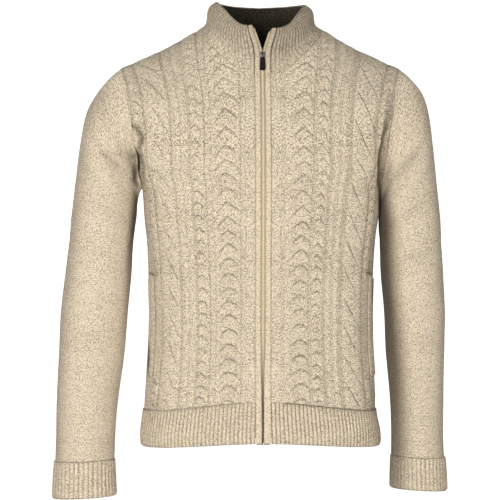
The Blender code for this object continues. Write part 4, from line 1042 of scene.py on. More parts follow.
def surface_outward(place, first, second, step_first, step_second):
    """Unit normals of any surface function of two values, pointing away from the middle line."""
    along = place(first + step_first, second) - place(first - step_first, second)
    up = place(first, second + step_second) - place(first, second - step_second)
    normal = unit(np.cross(along, up))
    here = place(first, second)
    flip = np.sign(np.sum(normal[..., :2] * here[..., :2], axis=-1, keepdims=True))
    return normal * np.where(flip == 0, 1.0, flip)


def collar_grid(columns, rises, start):
    """Points and outward directions from the right front edge round the back to the left."""
    whole = np.linspace(start, 360.0 - start, columns)
    turn = np.where(whole <= 180.0, whole, 360.0 - whole)
    grid, out = [], []
    for side, chosen in (("right", whole <= 180.0), ("left", whole > 180.0)):
        angle = np.broadcast_to(turn[chosen], (len(rises), int(chosen.sum())))
        rise = np.broadcast_to(np.array(rises)[:, None], angle.shape)
        safe, inside = np.clip(angle, 1.0, 179.0), np.clip(rise, 0.02, 0.98)
        normal = surface_outward(lambda a, r: collar_point(side, a, r), safe, inside, 0.5, 0.01)
        grid.append(mirrored(collar_point(side, angle, rise), side))
        out.append(mirrored(normal, side))
    points, outward = np.concatenate(grid, axis=1), np.concatenate(out, axis=1)
    return points, outward, running_length(points[len(rises) // 2])


def dress_collar():
    rises = np.concatenate([np.linspace(-0.012, 0.93, 40), np.linspace(0.945, 1.0, 7)])
    points, out, run = collar_grid(72 * RIB_STEPS + 1, rises, COLLAR_START)
    ribs = round(run[-1] / RIB_PITCH)
    wander = 0.5 * np.sin(rises * 9.0)[:, None] + 0.4 * np.sin(run / 37.0)[None]
    bead, valley = ribbing(run[None] + wander, run[-1] / ribs, RIB_RISE)
    turned = np.clip((rises - 0.95) / 0.05, 0.0, 1.0)[:, None]
    lip = -2.4 * (1 - np.sqrt(1 - 0.96 * turned**2))
    seam = np.clip(rises / 0.03, 0.0, 1.0)[:, None] ** 0.5
    slump = 1.3 * np.sin(run / 61.0 + 0.4)[None] * np.sin(math.pi * rises.clip(0.0, 1.0))[:, None]
    bend, shade = folded(points, out, COLLAR_FOLDS)
    height = bead * seam * (1 - 0.5 * turned) + 0.4 * (1 - seam) + lip + slump + bend
    outer = points + out * height[..., None]
    pick = np.ix_(coarse(len(rises), 5), coarse(len(run), RIB_STEPS))
    inner = inner_skin(points, out, slump + bend, pick)
    flat = np.stack(np.broadcast_arrays(run[None], rises[:, None] * COLLAR_HEIGHT), axis=-1)
    # painted shade in the rib valleys, along the seam and over the whole collar, more on the wearer's
    # left and less low near the front
    near_front = smooth_step(np.abs(run / run[-1] - 0.5)[None] * 4.0 - 0.8)
    low = (1 - smooth_step((rises - 0.05) / 0.5))[:, None] * near_front
    turned_left = smooth_step(run / run[-1] * 4.0 - 1.5)[None]
    hollow = np.maximum(valley * (0.72 - 0.52 * low), np.exp(-np.abs(rises) / 0.02)[:, None] * 0.12)
    hollow = np.maximum(hollow + 0.25 + 0.14 * turned_left - 0.19 * low, shade)
    return cloth_piece("collar_ribs", CABLE_KNIT, outer, inner, flat, hollow, pick, "collar")


def dress_lining():
    rises = np.linspace(0.06, 0.985, 44)
    points, out, run = collar_grid(360, rises, COLLAR_START + 1.5)
    x, y, z = np.moveaxis(points, -1, 0)
    tuft = (np.sin(x * 1.9 + z * 0.7) * np.sin(y * 2.3 - z * 1.1) + np.sin(z * 2.7 + x * 1.3)) * 0.22
    slump = 1.3 * np.sin(run / 61.0 + 0.4)[None] * np.sin(math.pi * rises)[:, None]
    seen = points + out * (slump - WALL - GAP - FLEECE - 0.3 - tuft)[..., None]
    pick = np.ix_(coarse(len(rises), 6), coarse(len(run), 6))
    hidden = inner_skin(points, out, slump, pick, WALL + GAP)
    flat = np.stack(np.broadcast_arrays(run[None], rises[:, None] * COLLAR_HEIGHT), axis=-1)
    return cloth_piece("collar_fleece", FLEECE_FINISH, seen, hidden, flat, np.zeros(seen.shape[:2]),
                       pick, "collar_lining", 0.0)


# ---------------------------------------------------------------- plackets, tapes and teeth
def front_edge_point(side, away, level):
    """A point beside the zip: away from the centre line, at a level from hem to collar rim."""
    away, level = np.broadcast_arrays(np.asarray(away, float), np.asarray(level, float))
    neck = NECK[0, 3]
    low = np.minimum(level, neck)
    body = body_point("front", away, up_at(away, low))
    angle = np.degrees(np.arctan2(away, -NECK[0, 2]))
    rim = curve_through(COLLAR_RIM[side], 3, angle)
    rise = np.clip((level - neck) / (rim - neck), 0.0, 1.0)
    above = collar_point(side, angle, rise)
    point = np.where((level > neck)[..., None], above, body)
    x = away + opening(away, point[..., 1], point[..., 2])
    return np.stack([x, point[..., 1], point[..., 2]], axis=-1)


def edge_grid(side, aways, low, high, rows, closing=0.0):
    """Points and outward directions of a strip beside the zip; it may close toward it near the hem."""
    rim = float(curve_through(COLLAR_RIM[side], 3, 5.0))
    levels = np.linspace(low, rim + high, rows)[:, None]
    aways = np.array(aways)[None]
    closed = closing * smooth_step((CLOSED_FROM - levels) / CLOSING_LENGTH)
    away = aways - closed * (aways.max() - aways) / np.ptp(aways)
    level = np.broadcast_to(levels, away.shape)
    out = surface_outward(lambda a, v: front_edge_point(side, a, v), away, level, 0.4, 2.0)
    return mirrored(front_edge_point(side, away, level), side), mirrored(out, side), away, level


def strip(name, finish, side, aways, profile, lift, thick, low, high, rows, node_name, closing=0.0):
    """A strip of cloth beside the zip, from a level up to its distance from the collar's rim."""
    points, out, away, level = edge_grid(side, aways, low, high, rows, closing)
    wave = 0.12 * np.sin(level / 19.0 + len(side))
    outer = points + out * (lift + np.array(profile)[None] + wave)[..., None]
    pick = np.ix_(coarse(rows, 6), np.array([0, len(aways) - 1]))
    inner = points[pick] + out[pick] * (lift - thick)
    flat = np.stack([away, level], axis=-1)
    # painted shade along the strip's edges and over its top near the collar
    edge = np.abs(np.linspace(-1.0, 1.0, len(aways))) ** 6
    hollow = edge[None] * 0.35 + 0.30 * smooth_step((level + 85.0) / 60.0)
    return cloth_piece(name, finish, outer, inner, flat, hollow, pick, node_name, 0.4)


def dress_placket(side):
    aways = np.linspace(PLACKET_INNER, PLACKET_OUTER, 13)
    across = np.linspace(-1.0, 1.0, 13)
    profile = 1.3 * (1 - np.abs(across) ** 3.2) - 0.4
    return strip("placket_" + side + "_knit", PLACKET_KNIT, side, aways, profile, 0.2, WALL,
                 PLACKET_END, -0.5, 330, "placket_" + side, CLOSING[side])


def dress_tape(side):
    aways = np.array([TAPE_INNER, 1.2, 2.0, 3.0, 5.5, TAPE_OUTER])
    profile = np.array([0.1, 0.35, 0.35, 0.1, 0.0, 0.0])
    return strip("zip_tape_" + side + "_woven", TAPE, side, aways, profile,
                 -WALL - GAP + 0.2, TAPE_BACK, ZIP_STOP, -3.5, 180, "zip_tape_" + side)


def tooth_places():
    """Where each tooth stands and how far its row leans: meshed below the slider, parted above."""
    places, leans = [], []
    count = int((SLIDER_Z - 6.0 - ZIP_STOP - 4.0) / TOOTH_PITCH)
    rim = float(curve_through(COLLAR_RIM["left"], 3, 5.0))
    for side, sign, shift in (("right", -1.0, 0.0), ("left", 1.0, 0.5)):
        low = ZIP_STOP + 4.0 + (np.arange(count) + shift) * TOOTH_PITCH
        high = np.arange(SLIDER_Z + 5.0 + shift, rim - 8.0, TOOTH_PITCH)
        for level in np.concatenate([low, high]):
            meshed = level < SLIDER_Z
            point = front_edge_point(side, 1.0, level)
            point[0] = (0.55 if meshed else point[0] + 0.3) * sign
            above = front_edge_point(side, 1.0, level + 4.0)
            step = (above - front_edge_point(side, 1.0, level)) * np.array([sign, 1.0, 1.0])
            places.append(point + np.array([0.0, 0.9, 0.0]))
            leans.append((math.atan2(step[1], step[2]) * -1.0, 0.0 if meshed else
                          math.atan2(step[0], step[2]), 0.0))
    return places, leans


def tooth_tree():
    """One rounded tooth on every point of the line, leaning with it."""
    tree = bpy.data.node_groups.new("Zip teeth", "GeometryNodeTree")
    for label, way, kind in (("Geometry", "INPUT", "Geometry"), ("Width", "INPUT", "Float"),
                             ("Depth", "INPUT", "Float"), ("Height", "INPUT", "Float"),
                             ("Finish", "INPUT", "Material"), ("Geometry", "OUTPUT", "Geometry")):
        tree.interface.new_socket(label, in_out=way, socket_type="NodeSocket" + kind)
    start = node(tree, "NodeGroupInput").outputs
    size = node(tree, "ShaderNodeCombineXYZ", {"X": start["Width"], "Y": start["Depth"],
                "Z": start["Height"]})
    cube = node(tree, "GeometryNodeMeshCube", {"Size": size.outputs["Vector"]})
    soft = node(tree, "GeometryNodeSubdivisionSurface", {"Mesh": cube.outputs["Mesh"], "Level": 1,
                "Edge Crease": 0.55})
    lean = node(tree, "GeometryNodeInputNamedAttribute", {"Name": "lean"}, data_type="FLOAT_VECTOR")
    place = node(tree, "GeometryNodeInstanceOnPoints", {"Points": start["Geometry"],
                 "Instance": soft.outputs["Mesh"], "Rotation": lean.outputs["Attribute"]})
    real = node(tree, "GeometryNodeRealizeInstances", {"Geometry": place.outputs["Instances"]})
    coat = node(tree, "GeometryNodeSetMaterial", {"Geometry": real.outputs["Geometry"],
                "Material": start["Finish"]})
    node(tree, "NodeGroupOutput", {"Geometry": coat.outputs["Geometry"]})
    return tree


def grown(name, places, leans, tree, values):
    """Run a tree on points and keep the result as a plain mesh."""
    mesh = bpy.data.meshes.new(name + "_points")
    mesh.from_pydata((np.array(places) * MM).tolist(), [], [])
    mark = mesh.attributes.new("lean", "FLOAT_VECTOR", "POINT")
    mark.data.foreach_set("vector", np.array(leans, np.float32).ravel())
    seed = placed(name, mesh)
    modifier = seed.modifiers.new("grow", "NODES")
    modifier.node_group = tree
    for socket in tree.interface.items_tree:
        if socket.in_out == "INPUT" and socket.name in values:
            modifier[socket.identifier] = values[socket.name]
    graph = bpy.context.evaluated_depsgraph_get()
    made = bpy.data.meshes.new_from_object(seed.evaluated_get(graph))
    seed.modifiers.remove(modifier)
    seed.data = made
    made.shade_smooth()
    return seed


def zip_teeth():
    places, leans = tooth_places()
    values = {"Width": 0.0034, "Depth": 0.0022, "Height": 0.00135, "Finish": TEETH}
    piece = grown("zip_teeth", places, leans, tooth_tree(), values)
    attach(piece, "cardigan")


# ---------------------------------------------------------------- sleeves and cuffs
def armhole_loop():
    """The body's cut edge at the armhole, read by angle: 0 at the shoulder, pi below."""
    points, outs = [], []
    for panel in ("front", "back"):
        _, side = panel_edges(panel)
        line = walk(side[1:], np.linspace(0.0, 1.0, 90))
        line = line[::-1] if panel == "front" else line
        edge = body_point(panel, line[:, 0], line[:, 1])
        points.append(edge)
        outs.append(body_outward(edge))
    points, outs = np.concatenate(points), np.concatenate(outs)
    lowest = int(np.argmin(points[:, 2]))
    run = running_length(points)
    down = run / run[lowest] * math.pi
    rest = math.pi + (run - run[lowest]) / (run[-1] - run[lowest]) * math.pi
    return np.where(np.arange(len(run)) <= lowest, down, rest), points, outs


def tube_point(rows, angle, run):
    """A point of a tube whose sections are table rows; angle 0 is its outer edge, front first."""
    angle, run = np.broadcast_arrays(np.asarray(angle, float), np.asarray(run, float))
    numbered = [(float(number),) + row for number, row in enumerate(rows)]
    value = [curve_through(numbered, column, run) for column in range(1, 7)]
    outer_x, outer_z, inner_x, inner_z, half_depth, middle_y = value
    x = (outer_x + inner_x) / 2 + (outer_x - inner_x) / 2 * np.cos(angle)
    z = (outer_z + inner_z) / 2 + (outer_z - inner_z) / 2 * np.cos(angle)
    return np.stack([x, middle_y - half_depth * np.sin(angle), z], axis=-1)


def read_loop(table, angle):
    """The armhole's points or outward directions, read at an angle."""
    return np.stack([np.interp(angle, LOOP_ANGLE, table[:, c]) for c in range(3)], axis=-1)


def sleeve_point(side, angle, run):
    """The sleeve's outer ground: its own sections, eased into the armhole's loop at the top."""
    point = tube_point(SLEEVES[side], angle, run)
    loop = read_loop(LOOP, np.mod(angle, 2 * math.pi))
    plain = tube_point(SLEEVES[side], angle, np.zeros_like(run))
    ease = 1.0 - smooth_step(run / LOOP_EASE)
    return point + (loop - plain) * ease[..., None]


def tube_outward(place, angle, run):
    along = place(angle + 0.02, run) - place(angle - 0.02, run)
    down = place(angle, run + 0.05) - place(angle, np.maximum(run - 0.05, 0.0))
    return unit(np.cross(along, down))


def even_runs(rows, step):
    """Row numbers that lie evenly down a tube, and the length of cloth down to each."""
    fine = np.linspace(0.0, len(rows) - 1.0, 400)
    line = (tube_point(rows, np.zeros(400), fine) + tube_point(rows, np.full(400, math.pi), fine)) / 2
    length = running_length(line)
    wanted = np.linspace(0.0, length[-1], int(length[-1] / step) + 1)
    return np.interp(wanted, length, fine), wanted


def turned_away(side, angle, level):
    """How shaded a sleeve is on its side turned to the body, and a little on its outer side."""
    table = np.array(INNER_SHADE[side])
    strength, reach = (np.interp(level, table[:, 0], table[:, c]) for c in (1, 2))
    inner = strength * smooth_step((reach - np.abs(angle - math.pi)) / (reach * 0.62))
    outer = OUTER_SHADE * smooth_step((1.4 - (math.pi - np.abs(angle - math.pi))) / 1.2)
    return np.maximum(inner, outer)


def dress_sleeve(side):
    columns = SLEEVE_COLUMNS
    runs, lengths = even_runs(SLEEVES[side], SLEEVE_STEP)
    runs[0] = 0.0
    angles = np.linspace(0.0, 2 * math.pi, columns, endpoint=False)
    angle, run = np.meshgrid(angles, runs)
    place = lambda a, r: sleeve_point(side, a, r)
    ground = place(angle, run)
    normal = tube_outward(place, angle, np.maximum(run, 0.05))
    seam, seam_out = read_loop(LOOP, angles), unit(read_loop(LOOP_OUT, angles))
    beyond = unit(np.cross(unit(np.roll(seam, -1, axis=0) - np.roll(seam, 1, axis=0)), seam_out))
    beyond *= np.sign(np.sum(beyond * (LOOP.mean(axis=0) - seam), axis=-1, keepdims=True))
    start = np.exp(-lengths / 3.0)[:, None, None]
    lead = np.exp(-lengths / 9.0)[:, None, None]
    normal = unit(normal * (1 - lead) + seam_out[None] * lead)
    points = mirrored(ground - beyond[None] * 0.15 * start, side)
    outward = mirrored(normal, side)
    bend, shade = folded(points, outward, SLEEVE_FOLDS)
    fade = smooth_step(lengths / 14.0)[:, None]
    down = lengths[:, None]
    sway = (0.8 * np.sin(down / 47.0) * np.sin(angle * 2 + 0.6)
            + 0.5 * np.sin(down / 23.0 + 1.0) * np.cos(angle * 3))
    roll = 0.35 * (1 - np.exp(-lengths / 2.5))[:, None] - 0.05
    outer = points + outward * (sway * fade + bend + roll)[..., None]
    pick = np.ix_(coarse(len(runs), 2), np.arange(0, columns, 3))
    inner = inner_skin(points, outward, bend, pick)
    low = (seam - seam_out * WALL + beyond * 1.2)[np.arange(0, columns, 3)]
    inner[0] = mirrored(low, side)
    flat = np.stack([angle * SLEEVE_FLAT_RADIUS, np.broadcast_to(-down, angle.shape)], axis=-1)
    # painted shade on the side turned to the body, a little on the outer side, along the armhole seam
    # and from the folds
    inner_side = turned_away(side, angle, ground[..., 2]) * smooth_step((down - 8.0) / 40.0)
    hollow = np.maximum(np.maximum(shade, inner_side), np.exp(-lengths / 1.6)[:, None] * 0.15)
    return cloth_piece("sleeve_" + side + "_knit", KNIT, outer, inner, flat, hollow, pick,
                       "sleeve_" + side, 0.6, 2 * math.pi * SLEEVE_FLAT_RADIUS)


def dress_cuff(side):
    rows = CUFFS[side]
    columns = CUFF_RIBS * RIB_STEPS
    angles = np.linspace(0.0, 2 * math.pi, columns, endpoint=False)
    v = np.linspace(0.0, 2.0, CUFF_ROWS)
    angle, run = np.meshgrid(angles, v)
    place = lambda a, r: tube_point(rows, a, r)
    ground, normal = place(angle, run), tube_outward(place, angle, run)
    wander = 0.05 * np.sin(run * 2.2 + angle * 2.0)
    bead, valley = ribbing(angle / (2 * math.pi) * CUFF_RIBS + wander, 1.0, RIB_RISE * 1.5)
    ends = np.minimum(1.0, np.minimum(run * 0.5 + 0.12, 2.0 - run) * 9.0) ** 0.5
    points, outward = mirrored(ground, side), mirrored(normal, side)
    bend, shade = folded(points, outward, SLEEVE_FOLDS)
    outer = points + outward * ((bead + 0.15) * ends - 0.9 * (1 - ends) + bend)[..., None]
    pick = np.ix_(coarse(CUFF_ROWS, 4), np.arange(0, columns, RIB_STEPS))
    inner = inner_skin(points, outward, bend, pick)
    flat = np.stack([angle * CUFF_FLAT_RADIUS, -run * CUFF_SECTION_HEIGHT], axis=-1)
    # painted shade in the rib valleys, at the seam with the sleeve, from the folds and on the side
    # turned to the body
    inner_side = turned_away(side, angle, ground[..., 2])
    hollow = np.maximum(np.maximum(valley * 0.75, shade), np.exp(-run / 0.05) * 0.4)
    hollow = np.maximum(hollow, inner_side)
    return cloth_piece("cuff_" + side + "_ribs", KNIT, outer, inner, flat, hollow, pick,
                       "cuff_" + side, 0.3, 2 * math.pi * CUFF_FLAT_RADIUS)


# ---------------------------------------------------------------- pocket welts
def dress_welt(side):
    last = FRONT_ACROSS - 1.0
    c = np.linspace(0.0, 1.0, 25)
    v = np.linspace(0.0, 1.0, 110)[:, None]
    across = np.broadcast_to(WELT_INNER + (last - WELT_INNER) * c, (110, 25))
    top = POCKET_TOP - 7.0 * c**3
    up = POCKET_END + (top - POCKET_END)[None] * v
    ground = body_point("front", across, up)
    out = mirrored(body_outward(ground), side)
    points = mirrored(ground, side)
    side_round = (1 - np.abs(2 * c - 1) ** 5) ** 0.5
    end_round = np.minimum(1.0, np.minimum(v, 1.0 - v) * 160.0 / 3.0 + 0.05) ** 0.5
    thick = (WELT_THICK + 0.5) * side_round[None] * end_round
    wales = 0.22 * np.abs(np.sin(math.pi * across / 5.2)) * side_round[None] * end_round
    bend, shade = folded(points, out, BODY_FOLDS)
    outer = points + out * (GAP + 0.25 + thick + wales + bend)[..., None]
    pick = np.ix_(coarse(110, 6), coarse(25, 6))
    inner = inner_skin(points, out, bend, pick, -WELT_LIFT)
    flat = np.stack([across, up], axis=-1)
    # painted shade at the welt's rounded sides, from the folds and along the pocket opening
    hollow = np.maximum(np.broadcast_to((1 - side_round)[None] * 0.8, across.shape), shade)
    return cloth_piece("pocket_welt_" + side + "_knit", KNIT, outer, inner, flat, hollow, pick,
                       "pocket_welt_" + side, 0.6)


# ---------------------------------------------------------------- finishes
def fill(tree, made, values):
    """Link or set a node's inputs."""
    for key, value in values.items():
        if isinstance(value, bpy.types.NodeSocket):
            tree.links.new(value, made.inputs[key])
        else:
            made.inputs[key].default_value = value


def node(tree, kind, sets=None, **facts):
    made = tree.nodes.new(kind)
    for key, value in facts.items():
        setattr(made, key, value)
    fill(tree, made, sets or {})
    return made


def calc(tree, operation, *values):
    made = node(tree, "ShaderNodeMath", dict(enumerate(values)), operation=operation)
    return made.outputs[0]


def spread(tree, value, low, high, out_low=0.0, out_high=1.0):
    """A value read softly between two limits."""
    made = node(tree, "ShaderNodeMapRange", {"Value": value, "From Min": low, "From Max": high,
                "To Min": out_low, "To Max": out_high}, interpolation_type="SMOOTHSTEP")
    return made.outputs["Result"]


def blended(tree, share, one, two, how="MIX"):
    made = node(tree, "ShaderNodeMix", {0: share, 6: one, 7: two}, data_type="RGBA", blend_type=how)
    return made.outputs[2]


def grain(tree, vector, scale, stretch=(1.0, 1.0, 1.0), detail=2.0, rough=0.6):
    moved = node(tree, "ShaderNodeMapping", {"Vector": vector, "Scale": stretch})
    made = node(tree, "ShaderNodeTexNoise", {"Vector": moved.outputs[0], "Scale": scale,
                "Detail": detail, "Roughness": rough})
    return made.outputs["Fac"]


def group(name, inputs, outputs):
    tree = bpy.data.node_groups.new(name, "ShaderNodeTree")
    for label, kind, value in inputs:
        socket = tree.interface.new_socket(label, in_out="INPUT", socket_type="NodeSocket" + kind)
        socket.default_value = value
    for label, kind in outputs:
        tree.interface.new_socket(label, in_out="OUTPUT", socket_type="NodeSocket" + kind)
    return tree, tree.nodes.new("NodeGroupInput"), tree.nodes.new("NodeGroupOutput")


def crest(tree, value, power):
    """A rounded crest over a value that runs from nought to one."""
    middle = calc(tree, "ABSOLUTE", calc(tree, "MULTIPLY_ADD", value, 2.0, -1.0))
    return calc(tree, "SUBTRACT", 1.0, calc(tree, "POWER", middle, power))


def stitch_group():
    """Rows of V stitches on a flat cloth measured in millimetres."""
    tree, start, end = group("Knit stitches", (
        ("Vector", "Vector", (0.0, 0.0, 0.0)), ("Stitch Width", "Float", 3.2),
        ("Stitch Height", "Float", 2.3), ("Slant", "Float", 0.8)),
        (("Height", "Float"), ("Gap", "Float")))
    wobble = node(tree, "ShaderNodeTexNoise", {"Vector": start.outputs["Vector"], "Scale": 0.35,
                  "Detail": 1.0})
    shake = node(tree, "ShaderNodeVectorMath", {0: wobble.outputs["Color"], 1: (0.5, 0.5, 0.5)},
                 operation="SUBTRACT")
    moved = node(tree, "ShaderNodeVectorMath", {0: shake.outputs[0], 1: (1.5, 1.5, 0.0),
                 2: start.outputs["Vector"]}, operation="MULTIPLY_ADD")
    part = node(tree, "ShaderNodeSeparateXYZ", {0: moved.outputs[0]})
    wale = calc(tree, "FRACT", calc(tree, "DIVIDE", part.outputs["X"], start.outputs["Stitch Width"]))
    away = calc(tree, "ABSOLUTE", calc(tree, "MULTIPLY_ADD", wale, 2.0, -1.0))
    row = calc(tree, "DIVIDE", part.outputs["Y"], start.outputs["Stitch Height"])
    slant = calc(tree, "MULTIPLY", away, start.outputs["Slant"])
    leg = calc(tree, "FRACT", calc(tree, "SUBTRACT", row, slant))
    both = calc(tree, "MULTIPLY", crest(tree, leg, 2.4), crest(tree, away, 3.0))
    height = calc(tree, "POWER", calc(tree, "MAXIMUM", both, 0.0), 0.6)
    tree.links.new(height, end.inputs["Height"])
    tree.links.new(calc(tree, "SUBTRACT", 1.0, height), end.inputs["Gap"])
    return tree


def melange_group():
    """Yarn of a pale wool with a little brown in it, in short level streaks."""
    tree, start, end = group("Melange yarn", (
        ("Vector", "Vector", (0.0, 0.0, 0.0)), ("Pale", "Color", (0.8, 0.7, 0.5, 1.0)),
        ("Middle", "Color", (0.6, 0.5, 0.36, 1.0)), ("Dark", "Color", (0.25, 0.18, 0.1, 1.0)),
        ("Flecks", "Float", 0.5)), (("Color", "Color"), ("Streaks", "Float")))
    vector = start.outputs["Vector"]
    fine = grain(tree, vector, 0.56, (1.0, 1.0, 1.0), 2.5, 0.65)
    broad = grain(tree, vector, 0.16, (0.8, 1.1, 1.0), 2.0, 0.6)
    slow = grain(tree, vector, 0.018, (1.0, 1.6, 1.0), 2.0, 0.5)
    tone = calc(tree, "MULTIPLY_ADD", fine, 0.78, calc(tree, "MULTIPLY_ADD", broad, 0.16,
                calc(tree, "MULTIPLY", slow, 0.06)))
    colour = blended(tree, spread(tree, tone, 0.425, 0.505),
                     start.outputs["Middle"], start.outputs["Pale"])
    fleck = grain(tree, vector, 0.47, (1.0, 1.1, 1.0), 2.0, 0.55)
    near = spread(tree, fleck, 0.56, 0.66)
    few = spread(tree, grain(tree, vector, 0.05, (1.0, 1.0, 1.0), 1.0), 0.35, 0.65, 0.55, 1.0)
    share = calc(tree, "MULTIPLY", calc(tree, "MULTIPLY", near, few), start.outputs["Flecks"])
    colour = blended(tree, share, colour, start.outputs["Dark"])
    tree.links.new(colour, end.inputs["Color"])
    tree.links.new(tone, end.inputs["Streaks"])
    return tree


def shader(name, roughness, metallic=0.0, sheen=0.0):
    material = bpy.data.materials.new(name)
    material.use_nodes = True
    body = material.node_tree.nodes["Principled BSDF"]
    body.inputs["Roughness"].default_value = roughness
    body.inputs["Metallic"].default_value = metallic
    body.inputs["Sheen Weight"].default_value = sheen
    body.inputs["Sheen Roughness"].default_value = 0.45
    return material, material.node_tree, body


def coated(tree, body, colour, height, strength, distance):
    """Give a finish its colour and its relief."""
    tree.links.new(colour, body.inputs["Base Color"])
    bump = node(tree, "ShaderNodeBump", {"Height": height, "Strength": strength, "Distance": distance})
    tree.links.new(bump.outputs[0], body.inputs["Normal"])


def cloth_vector(tree):
    """The flat cloth's own coordinates in millimetres."""
    flat = node(tree, "ShaderNodeUVMap", uv_map="cloth")
    return node(tree, "ShaderNodeVectorMath", {0: flat.outputs[0], 1: (1000.0,) * 3},
                operation="MULTIPLY").outputs[0]


def knit_finish(name, tones, stitch, flecks, depth, streak, lines):
    """streak stretches the melange along x and y; lines is how much painted shade the gaps of the
    stitches get.
    """
    material, tree, body = shader(name, 0.95, sheen=0.03)
    vector = cloth_vector(tree)
    drawn = node(tree, "ShaderNodeVectorMath", {0: vector, 1: streak}, operation="MULTIPLY").outputs[0]
    pale, middle, dark = tones
    yarn = node(tree, "ShaderNodeGroup", {}, node_tree=MELANGE)
    rows = node(tree, "ShaderNodeGroup", {}, node_tree=STITCHES)
    fill(tree, yarn, {"Vector": drawn, "Pale": pale, "Middle": middle, "Dark": dark, "Flecks": flecks})
    fill(tree, rows, {"Vector": vector, "Stitch Width": stitch[0], "Stitch Height": stitch[1],
                      "Slant": 0.85})
    # painted shade: the yarn's colour is darkened toward the crease tone
    hollow = node(tree, "ShaderNodeAttribute", attribute_name="hollow").outputs["Fac"]
    shaded = blended(tree, calc(tree, "MINIMUM", calc(tree, "MULTIPLY", hollow, CREASE_DARKNESS), 1.0),
                     yarn.outputs["Color"], CREASE_TONE, "MULTIPLY")
    # painted shade in the gaps between the stitches
    gap = calc(tree, "MULTIPLY", calc(tree, "POWER", rows.outputs["Gap"], 1.6), lines)
    coloured = blended(tree, gap, shaded, STITCH_GAP_TONE)
    fuzz = grain(tree, vector, 1.3, (1.0, 1.0, 1.0), 3.0, 0.7)
    height = calc(tree, "MULTIPLY_ADD", yarn.outputs["Streaks"], 0.55,
                  calc(tree, "MULTIPLY_ADD", fuzz, 0.25, rows.outputs["Height"]))
    coated(tree, body, coloured, height, 0.9, depth)
    return material


def fleece_finish():
    material, tree, body = shader("dark speckled fleece", 1.0, sheen=0.05)
    vector = cloth_vector(tree)
    tuft = grain(tree, vector, 0.42, (1.0, 1.0, 1.0), 3.0, 0.7)
    fibre = grain(tree, vector, 0.75, (1.0, 0.8, 1.0), 3.0, 0.7)
    share = calc(tree, "MULTIPLY", spread(tree, fibre, 0.52, 0.61), spread(tree, tuft, 0.43, 0.56))
    colour = blended(tree, share, (0.007, 0.005, 0.002, 1.0), (0.22, 0.17, 0.065, 1.0))
    height = calc(tree, "MULTIPLY_ADD", tuft, 1.0, calc(tree, "MULTIPLY", fibre, 0.5))
    coated(tree, body, colour, height, 1.0, 0.003)
    return material


def tape_finish():
    material, tree, body = shader("woven zip tape", 0.85, sheen=0.1)
    vector = cloth_vector(tree)
    part = node(tree, "ShaderNodeSeparateXYZ", {0: vector})
    warp = calc(tree, "ABSOLUTE", calc(tree, "SINE", calc(tree, "MULTIPLY", part.outputs["X"], 5.2)))
    weft = calc(tree, "ABSOLUTE", calc(tree, "SINE", calc(tree, "MULTIPLY", part.outputs["Y"], 5.2)))
    height = calc(tree, "MULTIPLY", warp, weft)
    colour = blended(tree, height, (0.40, 0.31, 0.19, 1.0), (0.64, 0.53, 0.36, 1.0))
    place = node(tree, "ShaderNodeTexCoord").outputs["Object"]
    colour = blended(tree, low_shade(tree, place), colour, ZIP_SHADE_TONE)
    coated(tree, body, colour, height, 0.6, 0.0003)
    return material


def low_shade(tree, place):
    """How far the plackets hide the zip from the light, by its level in metres."""
    level = node(tree, "ShaderNodeSeparateXYZ", {0: place}).outputs["Z"]
    return spread(tree, level, -0.60, -0.47, 0.9, 0.0)


def hard_finish(name, one, two, roughness, metallic, scale, depth, darker_low=False):
    """Plastic, metal or leather: two tones in soft patches, worn roughness and a fine grain."""
    material, tree, body = shader(name, roughness, metallic)
    place = node(tree, "ShaderNodeTexCoord").outputs["Object"]
    patch = grain(tree, place, scale, (1.0, 1.0, 1.0), 3.0, 0.6)
    colour = blended(tree, spread(tree, patch, 0.35, 0.65), one, two)
    # painted shade on the teeth where the plackets hide the zip
    if darker_low:
        colour = blended(tree, low_shade(tree, place), colour, ZIP_SHADE_TONE)
    tree.links.new(spread(tree, patch, 0.3, 0.7, roughness * 0.8, min(1.0, roughness * 1.2)),
                   body.inputs["Roughness"])
    coated(tree, body, colour, patch, 0.4, depth)
    return material


# ---------------------------------------------------------------- slider and pull
def moulded(name, finish, parts, body_name, nodes, bevel):
    """Plates given as outlines in x and z with their y limits, softened at the edges."""
    shape = bmesh.new()
    for outline, near, far in parts:
        part = bmesh.new()
        rings = [[part.verts.new(Vector((x, y, z)) * MM) for x, z in outline] for y in (near, far)]
        part.faces.new(rings[0])
        part.faces.new(rings[1][::-1])
        for index in range(len(outline)):
            ahead = (index + 1) % len(outline)
            part.faces.new([rings[0][index], rings[0][ahead], rings[1][ahead], rings[1][index]])
        bmesh.ops.recalc_face_normals(part, faces=part.faces)
        bmesh.ops.bevel(part, geom=part.edges[:], offset=bevel * MM, segments=3, profile=0.6,
                        affect="EDGES", clamp_overlap=True)
        mesh = bpy.data.meshes.new("part")
        part.to_mesh(mesh)
        part.free()
        shape.from_mesh(mesh)
        bpy.data.meshes.remove(mesh)
    mesh = bpy.data.meshes.new(name)
    shape.to_mesh(mesh)
    shape.free()
    mesh.shade_smooth()
    mesh.materials.append(finish)
    piece = placed(name, mesh)
    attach(piece, body_name)
    if nodes:
        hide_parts(*nodes)


def rounded(half_width, low, high, corner, steps=6):
    """An upright rounded rectangle as an outline."""
    outline = []
    for sx, sz, turn in ((1, 1, 0.0), (-1, 1, 90.0), (-1, -1, 180.0), (1, -1, 270.0)):
        cx, cz = sx * (half_width - corner), (high if sz > 0 else low) - sz * corner
        for step in range(steps + 1):
            a = math.radians(turn + 90.0 * step / steps)
            outline.append((cx + corner * math.cos(a), cz + corner * math.sin(a)))
    return outline


